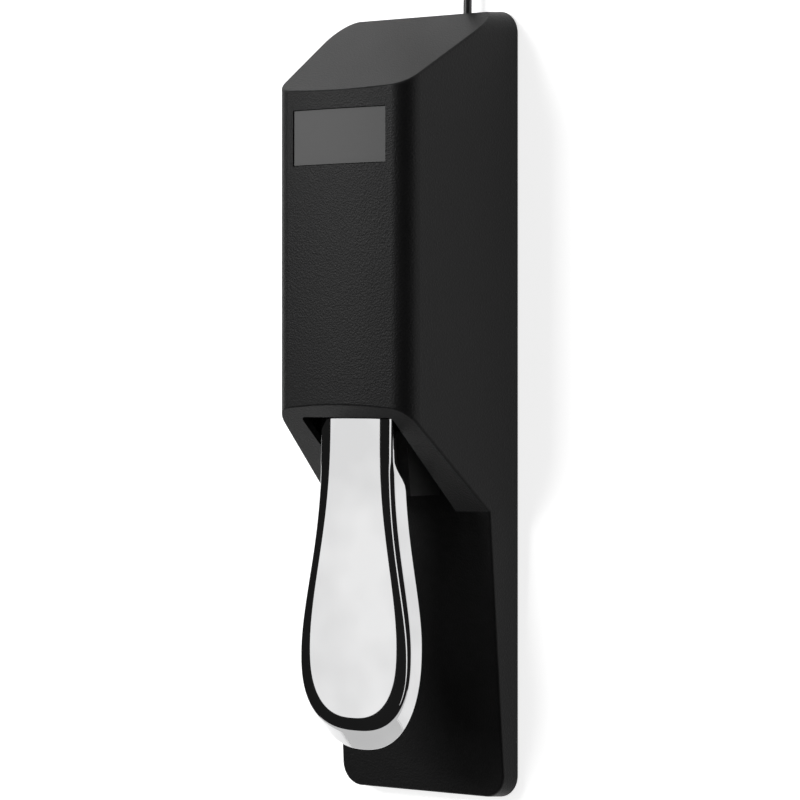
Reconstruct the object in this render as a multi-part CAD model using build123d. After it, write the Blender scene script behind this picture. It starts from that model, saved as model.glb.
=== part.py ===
from build123d import *
import os
from math import atan, cos, degrees, pi, radians, sin, tan

# A piano-style sustain pedal. Millimetres. +X to the right, +Y to the rear (lead end), +Z up.
# The origin is on the floor, under the middle of the case.

# ---------------------------------------------------------------- case
LENGTH = 260.0            # front to rear, at the floor line
WIDTH = 70.0              # side to side, at the floor line
HEIGHT = 52.6             # floor to the crown of the roof
SIDE_DRAFT = 8.6          # lean of the long walls, degrees
END_DRAFT = 4.5           # lean of the front and rear walls, degrees
CORNER_R = 7.6            # plan corners
WALL = 2.4
RIM_GAP = 0.8             # rim to floor
ROOF_FILLET = 7.6         # long edges of the roof
CROWN_R = 185.0           # roof curvature, side to side
DECK_LENGTH = 94.8        # front edge to the foot of the housing
DECK_FRONT_Z = 7.0
FOOT_Z = 13.75            # deck height at the foot of the housing
FACE_RUN = 35.2           # plan length of the sloping front face
REAR_RUN = 27.3           # plan length of the rear slope
REAR_WALL_Z = 7.4
EDGE_R = 0.8              # small rounding of the moulding's outer edges

# ---------------------------------------------------------------- mouth, badge
MOUTH_WIDTH = 38.0
MOUTH_BAR = 4.6           # height of the bar above the mouth
MOUTH_R = 1.6
SHELF_DEPTH = 30.0        # deck carried on inside the mouth
BADGE_LENGTH = 38.0       # along X
BADGE_WIDTH = 17.8        # along Y
BADGE_REAR_GAP = 6.1      # roof's rear edge to the badge
BADGE_THICK = 0.8
BADGE_SINK = 0.4          # badge face below the roof
BADGE_GAP = 0.25          # around the badge

# ---------------------------------------------------------------- base
MAT_THICK = 1.6
PLATE_THICK = 1.5
PLATE_GAP = 0.3           # base plate to case wall
MAT_INSET = 0.4           # mat edge inside the plate edge

# ---------------------------------------------------------------- pedal lever
LEVER_TOP_GAP = 5.0       # lever's flat to the mouth's upper edge
LEVER_PITCH = 0.88        # rise of the flat towards the toe, degrees
LEVER_SHEET = 1.8         # thickness of the flat
SKIRT_SHEET = 1.8
BEVEL_DROP = 1.0
SKIRT_DROP = 5.1
FLAT_NECK, FLAT_WIDEST = 10.1, 18.1           # half widths of the flat
BEVEL_NECK, BEVEL_WIDEST = 14.9, 22.9         # half widths at the bevel's outer edge
SKIRT_NECK, SKIRT_WIDEST = 16.3, 24.0         # half widths at the skirt's lower edge
FLAT_REACH, BEVEL_REACH, SKIRT_REACH = 102.0, 106.5, 113.0   # roof's front edge to the toe
FLAT_BELLY, BEVEL_BELLY, SKIRT_BELLY = 79.0, 82.0, 79.0      # same, to the widest place
FLAT_TOE_POWER, BEVEL_TOE_POWER, SKIRT_TOE_POWER = 2.5, 2.5, 2.2
NECK_START = 5.0          # the outlines begin to widen here, in front of the roof edge
FLAT_NECK_POWER, OUTER_NECK_POWER = 1.28, 1.5
SKIRT_START, SKIRT_FULL = 16.5, 27.5          # the skirt grows between these
NECK_BEHIND_MOUTH = 4.0   # full-width neck carried on inside the mouth
ARM_HALF = 11.5           # half width of the arm inside the housing
ARM_FLANGE = 6.0          # depth of the arm's turned-down sides
ARM_SHEET = 2.0
TAIL = 12.0               # arm behind the pivot

# ---------------------------------------------------------------- pivot
PIVOT_BEHIND_MOUTH = 50.0
PIVOT_BELOW_LEVER = 9.8
STROKE = 6.8              # pedal travel, degrees
SHAFT_R = 3.0
SHAFT_FIT = 0.05          # shaft to bush and to bracket, radial
BUSH_WALL = 1.0
BUSH_FLANGE = 1.0
BUSH_FLANGE_R = 5.6
EAR_R = 6.4
SIDE_PLAY = 0.3           # bush flange to bracket cheek
BRACKET_SHEET = 1.6
BRACKET_HALF_LENGTH = 15.0
CHEEK_TOP_R = 7.0
CLIP_THICK = 0.8
CLIP_R = 5.2
CLIP_GROOVE = 0.5
CLIP_PLAY = 0.1

# ---------------------------------------------------------------- stops and spring
PAD_THICK = 2.0           # felt under the tail
PAD_GAP = 0.05
STOP_GAP = 0.25           # block to lever, pedal fully down
STOP_HALF = 12.4
STOP_NOSE = 8.0           # half width of the raised nose
STOP_STEP = 1.6           # shoulders below the nose
NOSE_INSET = 2.0          # nose in from the block's front and rear
STOP_FRONT, STOP_REAR = 30.0, 9.0             # in front of the roof's front edge
PEG_R = 2.4
PEG_FIT = 0.05
SPRING_BEHIND_MOUTH = 4.0
SPRING_R = 4.9            # mean coil radius
SPRING_WIRE_R = 0.65
SPRING_TURNS = 9
SPRING_GAP = 0.12
SEAT_R = 7.5
SEAT_FLOOR = 2.0
PEG_CLEAR = 0.45          # spring coil to its pegs
SEAT_PEG = 4.0
LEVER_PEG = 4.0

# ---------------------------------------------------------------- switch
SWITCH_FROM_PIVOT = 24.0  # plunger ahead of the pivot
BOARD_X, BOARD_Y, BOARD_THICK = 24.0, 18.0, 1.6
POST_HEIGHT = 8.0
POST_R = 2.6
SWITCH_SIDE = 12.0
SWITCH_TALL = 7.2
STEM_R = 2.0
STEM_GAP = 0.08
STEM_END_GAP = 0.4        # stem to the switch's floor, fully pressed
SWITCH_FLOOR = 1.0
STEM_OUT = 5.0            # plunger standing out of the switch at rest
CAP_R = 3.0
CAP_THICK = 1.6
CONTACT_GAP = 0.15        # lever to plunger at rest
ACTUATOR_HALF = 3.0

# ---------------------------------------------------------------- polarity switch
POLARITY_X, POLARITY_BEHIND_PIVOT = -14.0, 37.0
POLARITY_TRAVEL = 3.0
POLARITY_LONG, POLARITY_WIDE, POLARITY_TALL = 14.0, 7.5, 6.0
KNOB_LONG, KNOB_WIDE = 3.6, 2.6
CARRIAGE_LONG, CARRIAGE_WIDE, CARRIAGE_TALL = 6.0, 4.4, 1.2
KNOB_BELOW = 0.7          # knob's end above the floor
SLIDE_GAP = 0.2

# ---------------------------------------------------------------- screws
SCREW_R = 1.5
HEAD_R = 2.8
HEAD_TALL = 1.2
SCREW_HOLE_GAP = 0.05
CASE_SCREW_LONG = 4.6
BOSS_R = 3.6
BOSS_TALL = 11.0
RIB_THICK = 1.6
SCREW_FROM_END = 18.0
FRONT_SCREW_IN, HOUSING_SCREW_IN = 10.0, 8.0  # in from the case's side
MID_SCREW_BEHIND_MOUTH = 12.0

# ---------------------------------------------------------------- lead
CABLE_D = 2.8
CABLE_X = 17.0
CABLE_LIFT = 0.1          # lead above the base plate
GROMMET_WALL = 0.6
GROMMET_FLANGE = 0.8
GROMMET_FLANGE_THICK = 1.2
JACKET_INSIDE = 30.0      # jacket carried on inside the rear wall
CLAMP_LONG = 6.0
CLAMP_FROM_REAR = 22.0
CLAMP_TOP = 1.6           # clamp above the lead
CLAMP_FOOT = 7.5          # clamp's screw from the lead
WIRE_R = 0.6
WIRE_LIFT = 0.1

# the lead's free route, out of the rear wall and along the floor into the coil
CABLE_ROUTE = [(17.0, 141.0, 4.6), (18.2, 155.0, 2.4), (22.0, 171.0, 1.5), (27.4, 188.0, 1.55),
               (31.0, 204.0, 2.3), (31.4, 217.0, 2.3)]
# out of the coil's top and round to the plug
PLUG_ROUTE = [(14.0, 241.4, 10.7), (3.0, 242.4, 10.6), (-7.0, 242.0, 9.6), (-17.8, 238.6, 7.4),
              (-24.0, 229.0, 5.6), (-24.0, 216.0, 5.6)]
COIL_CENTRE = (10.0, 220.0)
COIL_MEAN_R = 16.8
COIL_ROWS, COIL_COLUMNS = 4, 4
COIL_LIFT = 0.9           # held off the floor by the strap
COIL_EDGE_R = 2.4
TIE_THICK, TIE_WIDE, TIE_GAP = 0.7, 7.0, 0.05

# ---------------------------------------------------------------- plug
RELIEF_LONG, RELIEF_TAIL_R, RELIEF_HEAD_R = 12.0, 2.2, 3.9
HANDLE_LONG, HANDLE_R, HANDLE_NOSE_R = 27.0, 5.5, 4.6
SLEEVE_R, SLEEVE_LONG = 3.175, 20.5
COLLAR_R, COLLAR_LONG = 4.2, 1.6
INSULATOR_LONG = 1.5
TIP_LONG, TIP_NECK_R = 7.8, 2.2

# ================================================================ worked out
SIDE = tan(radians(SIDE_DRAFT))
END = tan(radians(END_DRAFT))
REAR_Y = LENGTH / 2
FRONT_Y = -LENGTH / 2
FOOT_Y = FRONT_Y + DECK_LENGTH
MOUTH_Y = FOOT_Y + FACE_RUN               # roof's front edge
ROOF_REAR_Y = REAR_Y - REAR_WALL_Z * END - REAR_RUN
FACE_SLOPE = (HEIGHT - FOOT_Z) / FACE_RUN
PLATE_TOP = MAT_THICK + PLATE_THICK
MOUTH_TOP_Z = HEIGHT - MOUTH_BAR
LEVER_Z = MOUTH_TOP_Z - LEVER_TOP_GAP + 0.25   # the flat, at NECK_START
PIVOT_Y = MOUTH_Y + PIVOT_BEHIND_MOUTH
PIVOT_Z = LEVER_Z - PIVOT_BELOW_LEVER
PITCH = tan(radians(LEVER_PITCH))
POCKET_ROOF = BEVEL_DROP + LEVER_SHEET    # underside of the plate, below the flat
BUSH_R = SHAFT_R + SHAFT_FIT + BUSH_WALL
CHEEK_IN = ARM_HALF + BUSH_FLANGE + SIDE_PLAY
CHEEK_OUT = CHEEK_IN + BRACKET_SHEET
BOARD_TOP = PLATE_TOP + POST_HEIGHT + BOARD_THICK
SWITCH_TOP = BOARD_TOP + SWITCH_TALL
PLUNGER_TOP = SWITCH_TOP + STEM_OUT
SWITCH_Y = PIVOT_Y - SWITCH_FROM_PIVOT
PLUNGER_TRAVEL = SWITCH_FROM_PIVOT * radians(STROKE)
CABLE_R = CABLE_D / 2
CABLE_Z = PLATE_TOP + CABLE_R + CABLE_LIFT
GROMMET_R = CABLE_R + GROMMET_WALL


def lever_flat(y):
    """Height of the pedal's flat at y."""
    return LEVER_Z + (MOUTH_Y - NECK_START - y) * PITCH


def xz_prism(face, y_from, y_to):
    """Sweep a face drawn in X and Z along Y."""
    return Pos(0, y_from, 0) * extrude(face, amount=y_to - y_from, dir=(0, 1, 0))


def yz_prism(points, half):
    """A polygon of (y, z) points, extruded to both sides of X = 0."""
    face = make_face(Polyline(*[(0, y, z) for y, z in points], close=True))
    return Pos(-half, 0, 0) * extrude(face, amount=2 * half, dir=(1, 0, 0))


def block(x, y, z):
    """A box from its (low, high) spans."""
    size = Box(x[1] - x[0], y[1] - y[0], z[1] - z[0], align=(Align.MIN,) * 3)
    return Pos(x[0], y[0], z[0]) * size


def disc(radius, x, y, z_from, z_to):
    """A vertical cylinder."""
    return Pos(x, y, z_from) * Cylinder(radius, z_to - z_from, align=(Align.CENTER, Align.CENTER, Align.MIN))


def rod_x(radius, x_from, x_to, y, z):
    """A cylinder along X."""
    return Pos(x_from, y, z) * Rot(0, 90, 0) * Cylinder(
        radius, x_to - x_from, align=(Align.CENTER, Align.CENTER, Align.MIN))


def rod_y(radius, x, y_from, y_to, z):
    """A cylinder along Y."""
    return Pos(x, y_from, z) * Rot(-90, 0, 0) * Cylinder(
        radius, y_to - y_from, align=(Align.CENTER, Align.CENTER, Align.MIN))


def turn_radii(points):
    """The largest smooth bend at each inner point of a route."""
    radii = []
    for a, b, c in zip(points, points[1:], points[2:]):
        into, out = Vector(*b) - Vector(*a), Vector(*c) - Vector(*b)
        half_turn = radians(into.get_angle(out)) / 2
        radii.append(0.45 * min(into.length, out.length) / tan(half_turn))
    return radii


def tube(points, radius):
    """A round lead along straight runs joined by tangent arcs."""
    path = FilletPolyline(*points, radius=turn_radii(points))
    start = Plane(origin=points[0], z_dir=path % 0)
    lead = sweep(start * Circle(radius), path=path)
    print(f"lead {path.length:.1f} long: volume {lead.volume:.1f}, section x length "
          f"{pi * radius ** 2 * path.length:.1f}, least bend {min(turn_radii(points)):.1f}")
    return lead


# ================================================================ the case
def case_section(inset):
    """Cross-section of the housing: leaning sides, crowned roof, rounded long edges."""
    lean = inset / cos(radians(SIDE_DRAFT))
    half = WIDTH / 2 - lean
    crown = CROWN_R - inset
    centre_z = HEIGHT - CROWN_R
    fillet_r = max(ROOF_FILLET - inset, 1.0)
    top = HEIGHT + 4
    sides = make_face(Polyline((-half, 0, 0), (half, 0, 0), (half - SIDE * top, 0, top),
                               (-half + SIDE * top, 0, top), close=True))
    disc_face = Pos(0, 0, centre_z) * Rot(90, 0, 0) * Circle(crown)
    section = sides & disc_face
    corners = [v for v in section.vertices() if v.Z > HEIGHT / 2]
    return fillet(corners, fillet_r)


def case_profile(inset):
    """Side view of the case as (y, z) points, each wall moved in by the same amount."""
    deck = atan((FOOT_Z - DECK_FRONT_Z) / DECK_LENGTH)
    face = atan(FACE_SLOPE)
    rear = atan((HEIGHT - REAR_WALL_Z) / REAR_RUN)
    end = radians(END_DRAFT)
    low = -1.0 if inset else RIM_GAP
    # each edge: a point on it, and its angle from +Y
    front_wall = (Vector(FRONT_Y + inset / cos(end), 0), pi / 2 - end)
    deck_top = (Vector(FRONT_Y + inset * sin(deck), DECK_FRONT_Z - inset * cos(deck)), deck)
    front_face = (Vector(FOOT_Y + inset * sin(face), FOOT_Z - inset * cos(face)), face)
    roof = (Vector(0, HEIGHT + 2), 0.0)
    rear_face = (Vector(ROOF_REAR_Y - inset * sin(rear), HEIGHT - inset * cos(rear)), -rear)
    rear_wall = (Vector(REAR_Y - inset / cos(end), 0), pi / 2 + end)
    floor = (Vector(0, low), 0.0)

    def meet(first, second):
        """Where two edges cross."""
        (p, a), (q, b) = first, second
        step = ((q.X - p.X) * sin(b) - (q.Y - p.Y) * cos(b)) / sin(b - a)
        return (p.X + step * cos(a), p.Y + step * sin(a))

    edges = [floor, front_wall, deck_top, front_face, roof, rear_face, rear_wall]
    return [meet(edges[i], edges[(i + 1) % len(edges)]) for i in range(len(edges))]


def case_volume(inset):
    """The case's outer form, or its cavity, `inset` inside it."""
    form = xz_prism(case_section(inset), FRONT_Y - 5, REAR_Y + 5)
    form = form & yz_prism(case_profile(inset), WIDTH)
    upright = [e for e in form.edges()
               if e.bounding_box().size.Z > 0.8 * e.length and abs(e.center().Y) > LENGTH / 2 - 6 - inset
               and abs(e.center().X) > WIDTH / 3]
    return fillet(upright, max(CORNER_R - inset, 1.0))


def outer_form():
    """The case's outer form with its creases rounded."""
    form = case_volume(0)
    creases = [e for e in form.edges() if abs(e.center().X) < 1 and e.center().Z > 2 * RIM_GAP]
    return fillet(creases, EDGE_R)


def screw_places():
    """The six case screws, as (x, y)."""
    rows = [(FRONT_SCREW_IN, FRONT_Y + SCREW_FROM_END),
            (HOUSING_SCREW_IN, MOUTH_Y + MID_SCREW_BEHIND_MOUTH),
            (HOUSING_SCREW_IN, REAR_Y - SCREW_FROM_END)]
    return [(side * (WIDTH / 2 - inward), y) for inward, y in rows for side in (-1, 1)]


def base_outline(inset):
    """Plan of the base plate, or of the mat below it."""
    lean = WALL / cos(radians(SIDE_DRAFT)) + SIDE * PLATE_TOP + PLATE_GAP + inset
    end = WALL / cos(radians(END_DRAFT)) + END * PLATE_TOP + PLATE_GAP + inset
    corner = max(CORNER_R - WALL - PLATE_GAP - inset, 1.0)
    return RectangleRounded(WIDTH - 2 * lean, LENGTH - 2 * end, corner)


def crown_rod(radius):
    """Everything below a roof surface of this radius."""
    return rod_y(radius, 0, FRONT_Y, REAR_Y, HEIGHT - CROWN_R)


def badge_box(gap):
    """The badge's plan, grown by a gap, as a tall block."""
    rear = ROOF_REAR_Y - BADGE_REAR_GAP + gap
    half = BADGE_LENGTH / 2 + gap
    return block((-half, half), (rear - BADGE_WIDTH - 2 * gap, rear), (HEIGHT / 2, HEIGHT + 1))


def upper_case():
    """Housing and front deck, one moulding with its screw bosses, mouth and badge recess."""
    case = outer_form() - case_volume(WALL)
    half = WIDTH / 2
    shelf = block((-half, half), (FOOT_Y - WALL, FOOT_Y + SHELF_DEPTH), (FOOT_Z - WALL, FOOT_Z))
    fixings = shelf
    for x, y in screw_places():
        side = 1 if x > 0 else -1
        boss = disc(BOSS_R, x, y, PLATE_TOP, PLATE_TOP + BOSS_TALL)
        rib = block(sorted((x, side * half)), (y - RIB_THICK / 2, y + RIB_THICK / 2),
                    (PLATE_TOP, PLATE_TOP + BOSS_TALL))
        fixings = fixings + boss + rib
    case = case + (fixings & case_volume(WALL / 2))
    mouth = block((-MOUTH_WIDTH / 2, MOUTH_WIDTH / 2), (FOOT_Y - 2 * WALL, MOUTH_Y + WALL),
                  (FOOT_Z, MOUTH_TOP_Z))
    upper_corners = mouth.edges().filter_by(Axis.Y).group_by(Axis.Z)[-1]
    case = case - fillet(upper_corners, MOUTH_R)
    case = case - (badge_box(BADGE_GAP) - crown_rod(CROWN_R - BADGE_SINK - BADGE_THICK))
    for x, y in screw_places():
        case = case - disc(SCREW_R + SCREW_HOLE_GAP, x, y, 0, MAT_THICK + CASE_SCREW_LONG + 0.4)
    inner_wall = rear_inner_y(CABLE_Z)
    case = case - rod_y(GROMMET_R, CABLE_X, inner_wall - 1, REAR_Y + 1, CABLE_Z)
    case = case - rod_y(GROMMET_R + GROMMET_FLANGE, CABLE_X, inner_wall - 4, inner_wall, CABLE_Z)
    for side in (-1, 1):
        case = case - disc(PEG_R + PEG_FIT, side * STOP_NOSE, stop_middle(), FOOT_Z - 2 * WALL, FOOT_Z + 1)
    return case


def rear_inner_y(z):
    """Inner face of the rear wall at a height."""
    return REAR_Y - WALL / cos(radians(END_DRAFT)) - END * z


def stop_middle():
    """The down stop's middle along Y."""
    return MOUTH_Y - (STOP_FRONT + STOP_REAR) / 2


def badge_plate():
    """Plain curved plate in the roof's recess."""
    return badge_box(0) & crown_rod(CROWN_R - BADGE_SINK) - crown_rod(CROWN_R - BADGE_SINK - BADGE_THICK)


def base_plate():
    """Steel floor with its screw holes, the slider's slot and a notch for the grommet."""
    plate = Pos(0, 0, MAT_THICK) * extrude(base_outline(0), amount=PLATE_THICK)
    for x, y in screw_places() + inner_screw_places():
        plate = plate - disc(SCREW_R + SCREW_HOLE_GAP, x, y, 0, PLATE_TOP + 1)
    slot = KNOB_LONG / 2 + POLARITY_TRAVEL / 2 + SLIDE_GAP
    wide = KNOB_WIDE / 2 + SLIDE_GAP
    plate = plate - block((POLARITY_X - slot, POLARITY_X + slot), (POLARITY_Y - wide, POLARITY_Y + wide),
                          (0, 2 * PLATE_TOP))
    notch = GROMMET_R + GROMMET_FLANGE + PLATE_GAP
    front_of_flange = rear_inner_y(CABLE_Z) - GROMMET_FLANGE_THICK - PLATE_GAP
    return plate - block((CABLE_X - notch, CABLE_X + notch), (front_of_flange, REAR_Y),
                         (0, 2 * PLATE_TOP))


def rubber_mat():
    """Non-slip sheet, open around the screw heads and the slider."""
    mat = extrude(base_outline(MAT_INSET), amount=MAT_THICK)
    for x, y in screw_places():
        mat = mat - disc(HEAD_R + 2 * MAT_INSET, x, y, -1, MAT_THICK + 1)
    window = (POLARITY_LONG / 2, POLARITY_WIDE / 2)
    return mat - block((POLARITY_X - window[0], POLARITY_X + window[0]),
                       (POLARITY_Y - window[1], POLARITY_Y + window[1]), (-1, MAT_THICK + 1))


def screw(x, y, under_head, length, head_up=True):
    """A pan-head screw, its head resting at one height and its shank of one length."""
    away = 1 if head_up else -1
    head = disc(HEAD_R, x, y, *sorted((under_head, under_head + away * HEAD_TALL)))
    rim = head.faces().sort_by(Axis.Z)[-1 if head_up else 0].edges()
    head = fillet(rim, HEAD_TALL / 2)
    drive = block((x - HEAD_R / 2, x + HEAD_R / 2), (y - 0.35, y + 0.35),
                  sorted((under_head + away * HEAD_TALL / 2, under_head + away * 2 * HEAD_TALL)))
    shank = disc(SCREW_R, x, y, *sorted((under_head, under_head - away * length)))
    return head - drive - Pos(x, y, 0) * Rot(0, 0, 90) * Pos(-x, -y, 0) * drive + shank


def group(solids):
    """Identical fasteners as one node of separate solids."""
    return Compound(children=[s.solid() if len(s.solids()) == 1 else s for s in solids])


# ================================================================ pedal lever
def half_width(ahead, neck, widest, belly, neck_power):
    """Half width of an outline from its neck to its widest place."""
    share = max(ahead - NECK_START, 0.0) / (belly - NECK_START)
    eased = share ** neck_power
    return neck + (widest - neck) * (3 * eased ** 2 - 2 * eased ** 3)


def outline(neck, widest, belly, reach, neck_power, toe_power, height):
    """Spoon-shaped plan outline, symmetrical about X = 0, at one height."""
    flank = [NECK_START + (belly - NECK_START) * i / 8 for i in range(8)]
    right = [(half_width(a, neck, widest, belly, neck_power), MOUTH_Y - a) for a in flank]
    for step in range(0, 7):
        angle = radians(15 * step)
        across = widest * max(cos(angle), 0.0) ** (2 / toe_power)
        right.append((across, MOUTH_Y - belly - (reach - belly) * sin(angle) ** (2 / toe_power)))
    right[-1] = (0.0, MOUTH_Y - reach)
    back = MOUTH_Y + NECK_BEHIND_MOUTH
    left = [(-x, y) for x, y in reversed(right)]
    edges = [Line((-neck, back), (neck, back)), Line((neck, back), right[0]),
             Spline(*right, tangents=[(0, -1), (-1, 0)]),
             Spline(*left, tangents=[(-1, 0), (0, 1)]), Line(left[-1], (-neck, back))]
    return Pos(0, 0, height) * make_face(edges)


def lever_plate():
    """The pressed sheet: flat, bevel ring and turned-down skirt, before it is pitched."""
    def flat(inset, height):
        return outline(FLAT_NECK - inset, FLAT_WIDEST - inset, FLAT_BELLY, FLAT_REACH - inset,
                       FLAT_NECK_POWER, FLAT_TOE_POWER, height)

    def bevel(inset, height):
        return outline(BEVEL_NECK - inset, BEVEL_WIDEST - inset, BEVEL_BELLY, BEVEL_REACH - inset,
                       OUTER_NECK_POWER, BEVEL_TOE_POWER, height)

    def skirt(inset, height):
        return outline(SKIRT_NECK - inset, SKIRT_WIDEST - inset, SKIRT_BELLY, SKIRT_REACH - inset,
                       OUTER_NECK_POWER, SKIRT_TOE_POWER, height)

    bottom = -BEVEL_DROP - SKIRT_DROP
    plate = loft([bevel(0, -BEVEL_DROP), flat(0, 0)], ruled=True)
    plate = plate + loft([skirt(0, bottom), bevel(0, -BEVEL_DROP)], ruled=True)
    plate = plate - loft([skirt(SKIRT_SHEET, bottom - 0.1), bevel(SKIRT_SHEET, -POCKET_ROOF)], ruled=True)
    start, full = MOUTH_Y - SKIRT_START, MOUTH_Y - SKIRT_FULL
    third = (start - full) / 3
    back = MOUTH_Y + NECK_BEHIND_MOUTH + 1
    below = [(back, -LEVER_SHEET), (start, -LEVER_SHEET), (start - third, -LEVER_SHEET - 1.2),
             (start - 2 * third, bottom + 0.6), (full, bottom), (full, bottom - 2), (back, bottom - 2)]
    return plate - yz_prism(below, WIDTH)


def lever_arm():
    """The arm inside the housing, with turned-down sides, before it is pitched."""
    front, back = MOUTH_Y + NECK_BEHIND_MOUTH / 2, PIVOT_Y + TAIL
    arm = block((-ARM_HALF, ARM_HALF), (front, back), (-LEVER_SHEET, 0))
    for side in (-1, 1):
        span = sorted((side * ARM_HALF, side * (ARM_HALF - ARM_SHEET)))
        arm = arm + block(span, (front, back), (-ARM_FLANGE, 0))
    return arm


def pedal_lever():
    """The chrome pedal: plate, arm, pivot ears, spring peg and switch actuator."""
    hinge_line = (0, MOUTH_Y - NECK_START, LEVER_Z)
    pitched = Pos(*hinge_line) * Rot(-LEVER_PITCH, 0, 0) * Pos(0, NECK_START - MOUTH_Y, 0)
    lever = pitched * (lever_plate() + lever_arm())
    flange_top = lever_flat(PIVOT_Y) - LEVER_SHEET / 2
    for side in (-1, 1):
        span = sorted((side * ARM_HALF, side * (ARM_HALF - ARM_SHEET)))
        lever = lever + rod_x(EAR_R, span[0], span[1], PIVOT_Y, PIVOT_Z)
        lever = lever + block(span, (PIVOT_Y - EAR_R, PIVOT_Y + EAR_R), (PIVOT_Z, flange_top))
    lever = lever - rod_x(BUSH_R, -WIDTH, WIDTH, PIVOT_Y, PIVOT_Z)
    nose = CAP_R - 0.5
    nose_z = PLUNGER_TOP + CONTACT_GAP + nose
    lever = lever + rod_x(nose, -ACTUATOR_HALF, ACTUATOR_HALF, SWITCH_Y, nose_z)
    lever = lever + block((-ACTUATOR_HALF, ACTUATOR_HALF), (SWITCH_Y - nose, SWITCH_Y + nose),
                          (nose_z, lever_flat(SWITCH_Y) - LEVER_SHEET / 2))
    under = lever_flat(SPRING_Y) - LEVER_SHEET
    return lever + disc(peg_radius(), 0, SPRING_Y, under - LEVER_PEG, under + LEVER_SHEET / 2)


def peg_radius():
    """Peg that centres the spring."""
    return SPRING_R - SPRING_WIRE_R - PEG_CLEAR


def bush(side):
    """Flanged nylon bush in one ear of the lever."""
    inner, outer = ARM_HALF - ARM_SHEET, ARM_HALF + BUSH_FLANGE
    body = rod_x(BUSH_R, *sorted((side * inner, side * outer)), PIVOT_Y, PIVOT_Z)
    body = body + rod_x(BUSH_FLANGE_R, *sorted((side * ARM_HALF, side * outer)), PIVOT_Y, PIVOT_Z)
    return body - rod_x(SHAFT_R + SHAFT_FIT, -WIDTH, WIDTH, PIVOT_Y, PIVOT_Z)


# ================================================================ pivot bracket and stops
def pad_top():
    """Top of the felt pad, just under the lever's tail."""
    return lever_flat(PIVOT_Y + TAIL) - LEVER_SHEET / cos(radians(LEVER_PITCH)) - PAD_GAP


def pivot_bracket():
    """U-shaped steel bracket with a rear tab that carries the up stop."""
    front, back = PIVOT_Y - BRACKET_HALF_LENGTH, PIVOT_Y + BRACKET_HALF_LENGTH
    bracket = block((-CHEEK_OUT, CHEEK_OUT), (front, back), (PLATE_TOP, PLATE_TOP + BRACKET_SHEET))
    cheek = [(front, PLATE_TOP), (back, PLATE_TOP), (PIVOT_Y + CHEEK_TOP_R, PIVOT_Z),
             (PIVOT_Y - CHEEK_TOP_R, PIVOT_Z)]
    cheeks = yz_prism(cheek, CHEEK_OUT) + rod_x(CHEEK_TOP_R, -CHEEK_OUT, CHEEK_OUT, PIVOT_Y, PIVOT_Z)
    bracket = bracket + (cheeks - block((-CHEEK_IN, CHEEK_IN), (front - 1, back + 1), (0, HEIGHT)))
    shelf_top = pad_top() - PAD_THICK
    tab_half = ARM_HALF - ARM_SHEET - 2.5
    bracket = bracket + block((-tab_half, tab_half), (back - BRACKET_SHEET, back), (PLATE_TOP, shelf_top))
    bracket = bracket + block((-tab_half, tab_half), (PIVOT_Y + TAIL / 2, back),
                              (shelf_top - BRACKET_SHEET, shelf_top))
    bracket = bracket - rod_x(SHAFT_R + SHAFT_FIT, -WIDTH, WIDTH, PIVOT_Y, PIVOT_Z)
    for x, y in bracket_screw_places():
        bracket = bracket - disc(SCREW_R + SCREW_HOLE_GAP, x, y, 0, PLATE_TOP + 2 * BRACKET_SHEET)
    return bracket


def bracket_screw_places():
    """Four screws through the bracket's web."""
    reach = BRACKET_HALF_LENGTH - BRACKET_SHEET - HEAD_R - 1
    return [(x, PIVOT_Y + y) for x in (-ARM_HALF + HEAD_R, ARM_HALF - HEAD_R) for y in (-reach, reach)]


def board_post_places():
    """Two posts, at opposite corners of the board."""
    x, y = BOARD_X / 2 - POST_R, BOARD_Y / 2 - POST_R
    return [(-x, SWITCH_Y - y), (x, SWITCH_Y + y)]


def inner_screw_places():
    """Screws that come down into the base plate."""
    return bracket_screw_places() + board_post_places() + [(CABLE_X - CLAMP_FOOT, CLAMP_Y)]


def pivot_shaft():
    """Steel pin with a clip groove near each end."""
    groove_in = CHEEK_OUT + CLIP_PLAY
    end = groove_in + CLIP_THICK + 1.4
    pin = rod_x(SHAFT_R, -end, end, PIVOT_Y, PIVOT_Z)
    pin = chamfer(pin.edges().filter_by(GeomType.CIRCLE), 0.4)
    ring = rod_x(2 * SHAFT_R, 0, CLIP_THICK, PIVOT_Y, PIVOT_Z)
    ring = ring - rod_x(SHAFT_R - CLIP_GROOVE, 0, CLIP_THICK, PIVOT_Y, PIVOT_Z)
    return pin - Pos(groove_in, 0, 0) * ring - Pos(-groove_in - CLIP_THICK, 0, 0) * ring


def shaft_clip(side):
    """Open retaining ring in a groove of the shaft."""
    near = side * (CHEEK_OUT + CLIP_PLAY)
    span = sorted((near, near + side * CLIP_THICK))
    ring = rod_x(CLIP_R, *span, PIVOT_Y, PIVOT_Z) - rod_x(SHAFT_R - CLIP_GROOVE, *span, PIVOT_Y, PIVOT_Z)
    gap = (SHAFT_R - CLIP_GROOVE) * 0.8
    return ring - block(span, (PIVOT_Y - gap, PIVOT_Y + gap), (PIVOT_Z - 2 * CLIP_R, PIVOT_Z))


def up_stop_pad():
    """Felt pad on the bracket's tab."""
    half = ARM_HALF - ARM_SHEET - 3
    return block((-half, half), (PIVOT_Y + TAIL / 2, PIVOT_Y + TAIL), (pad_top() - PAD_THICK, pad_top()))


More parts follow.
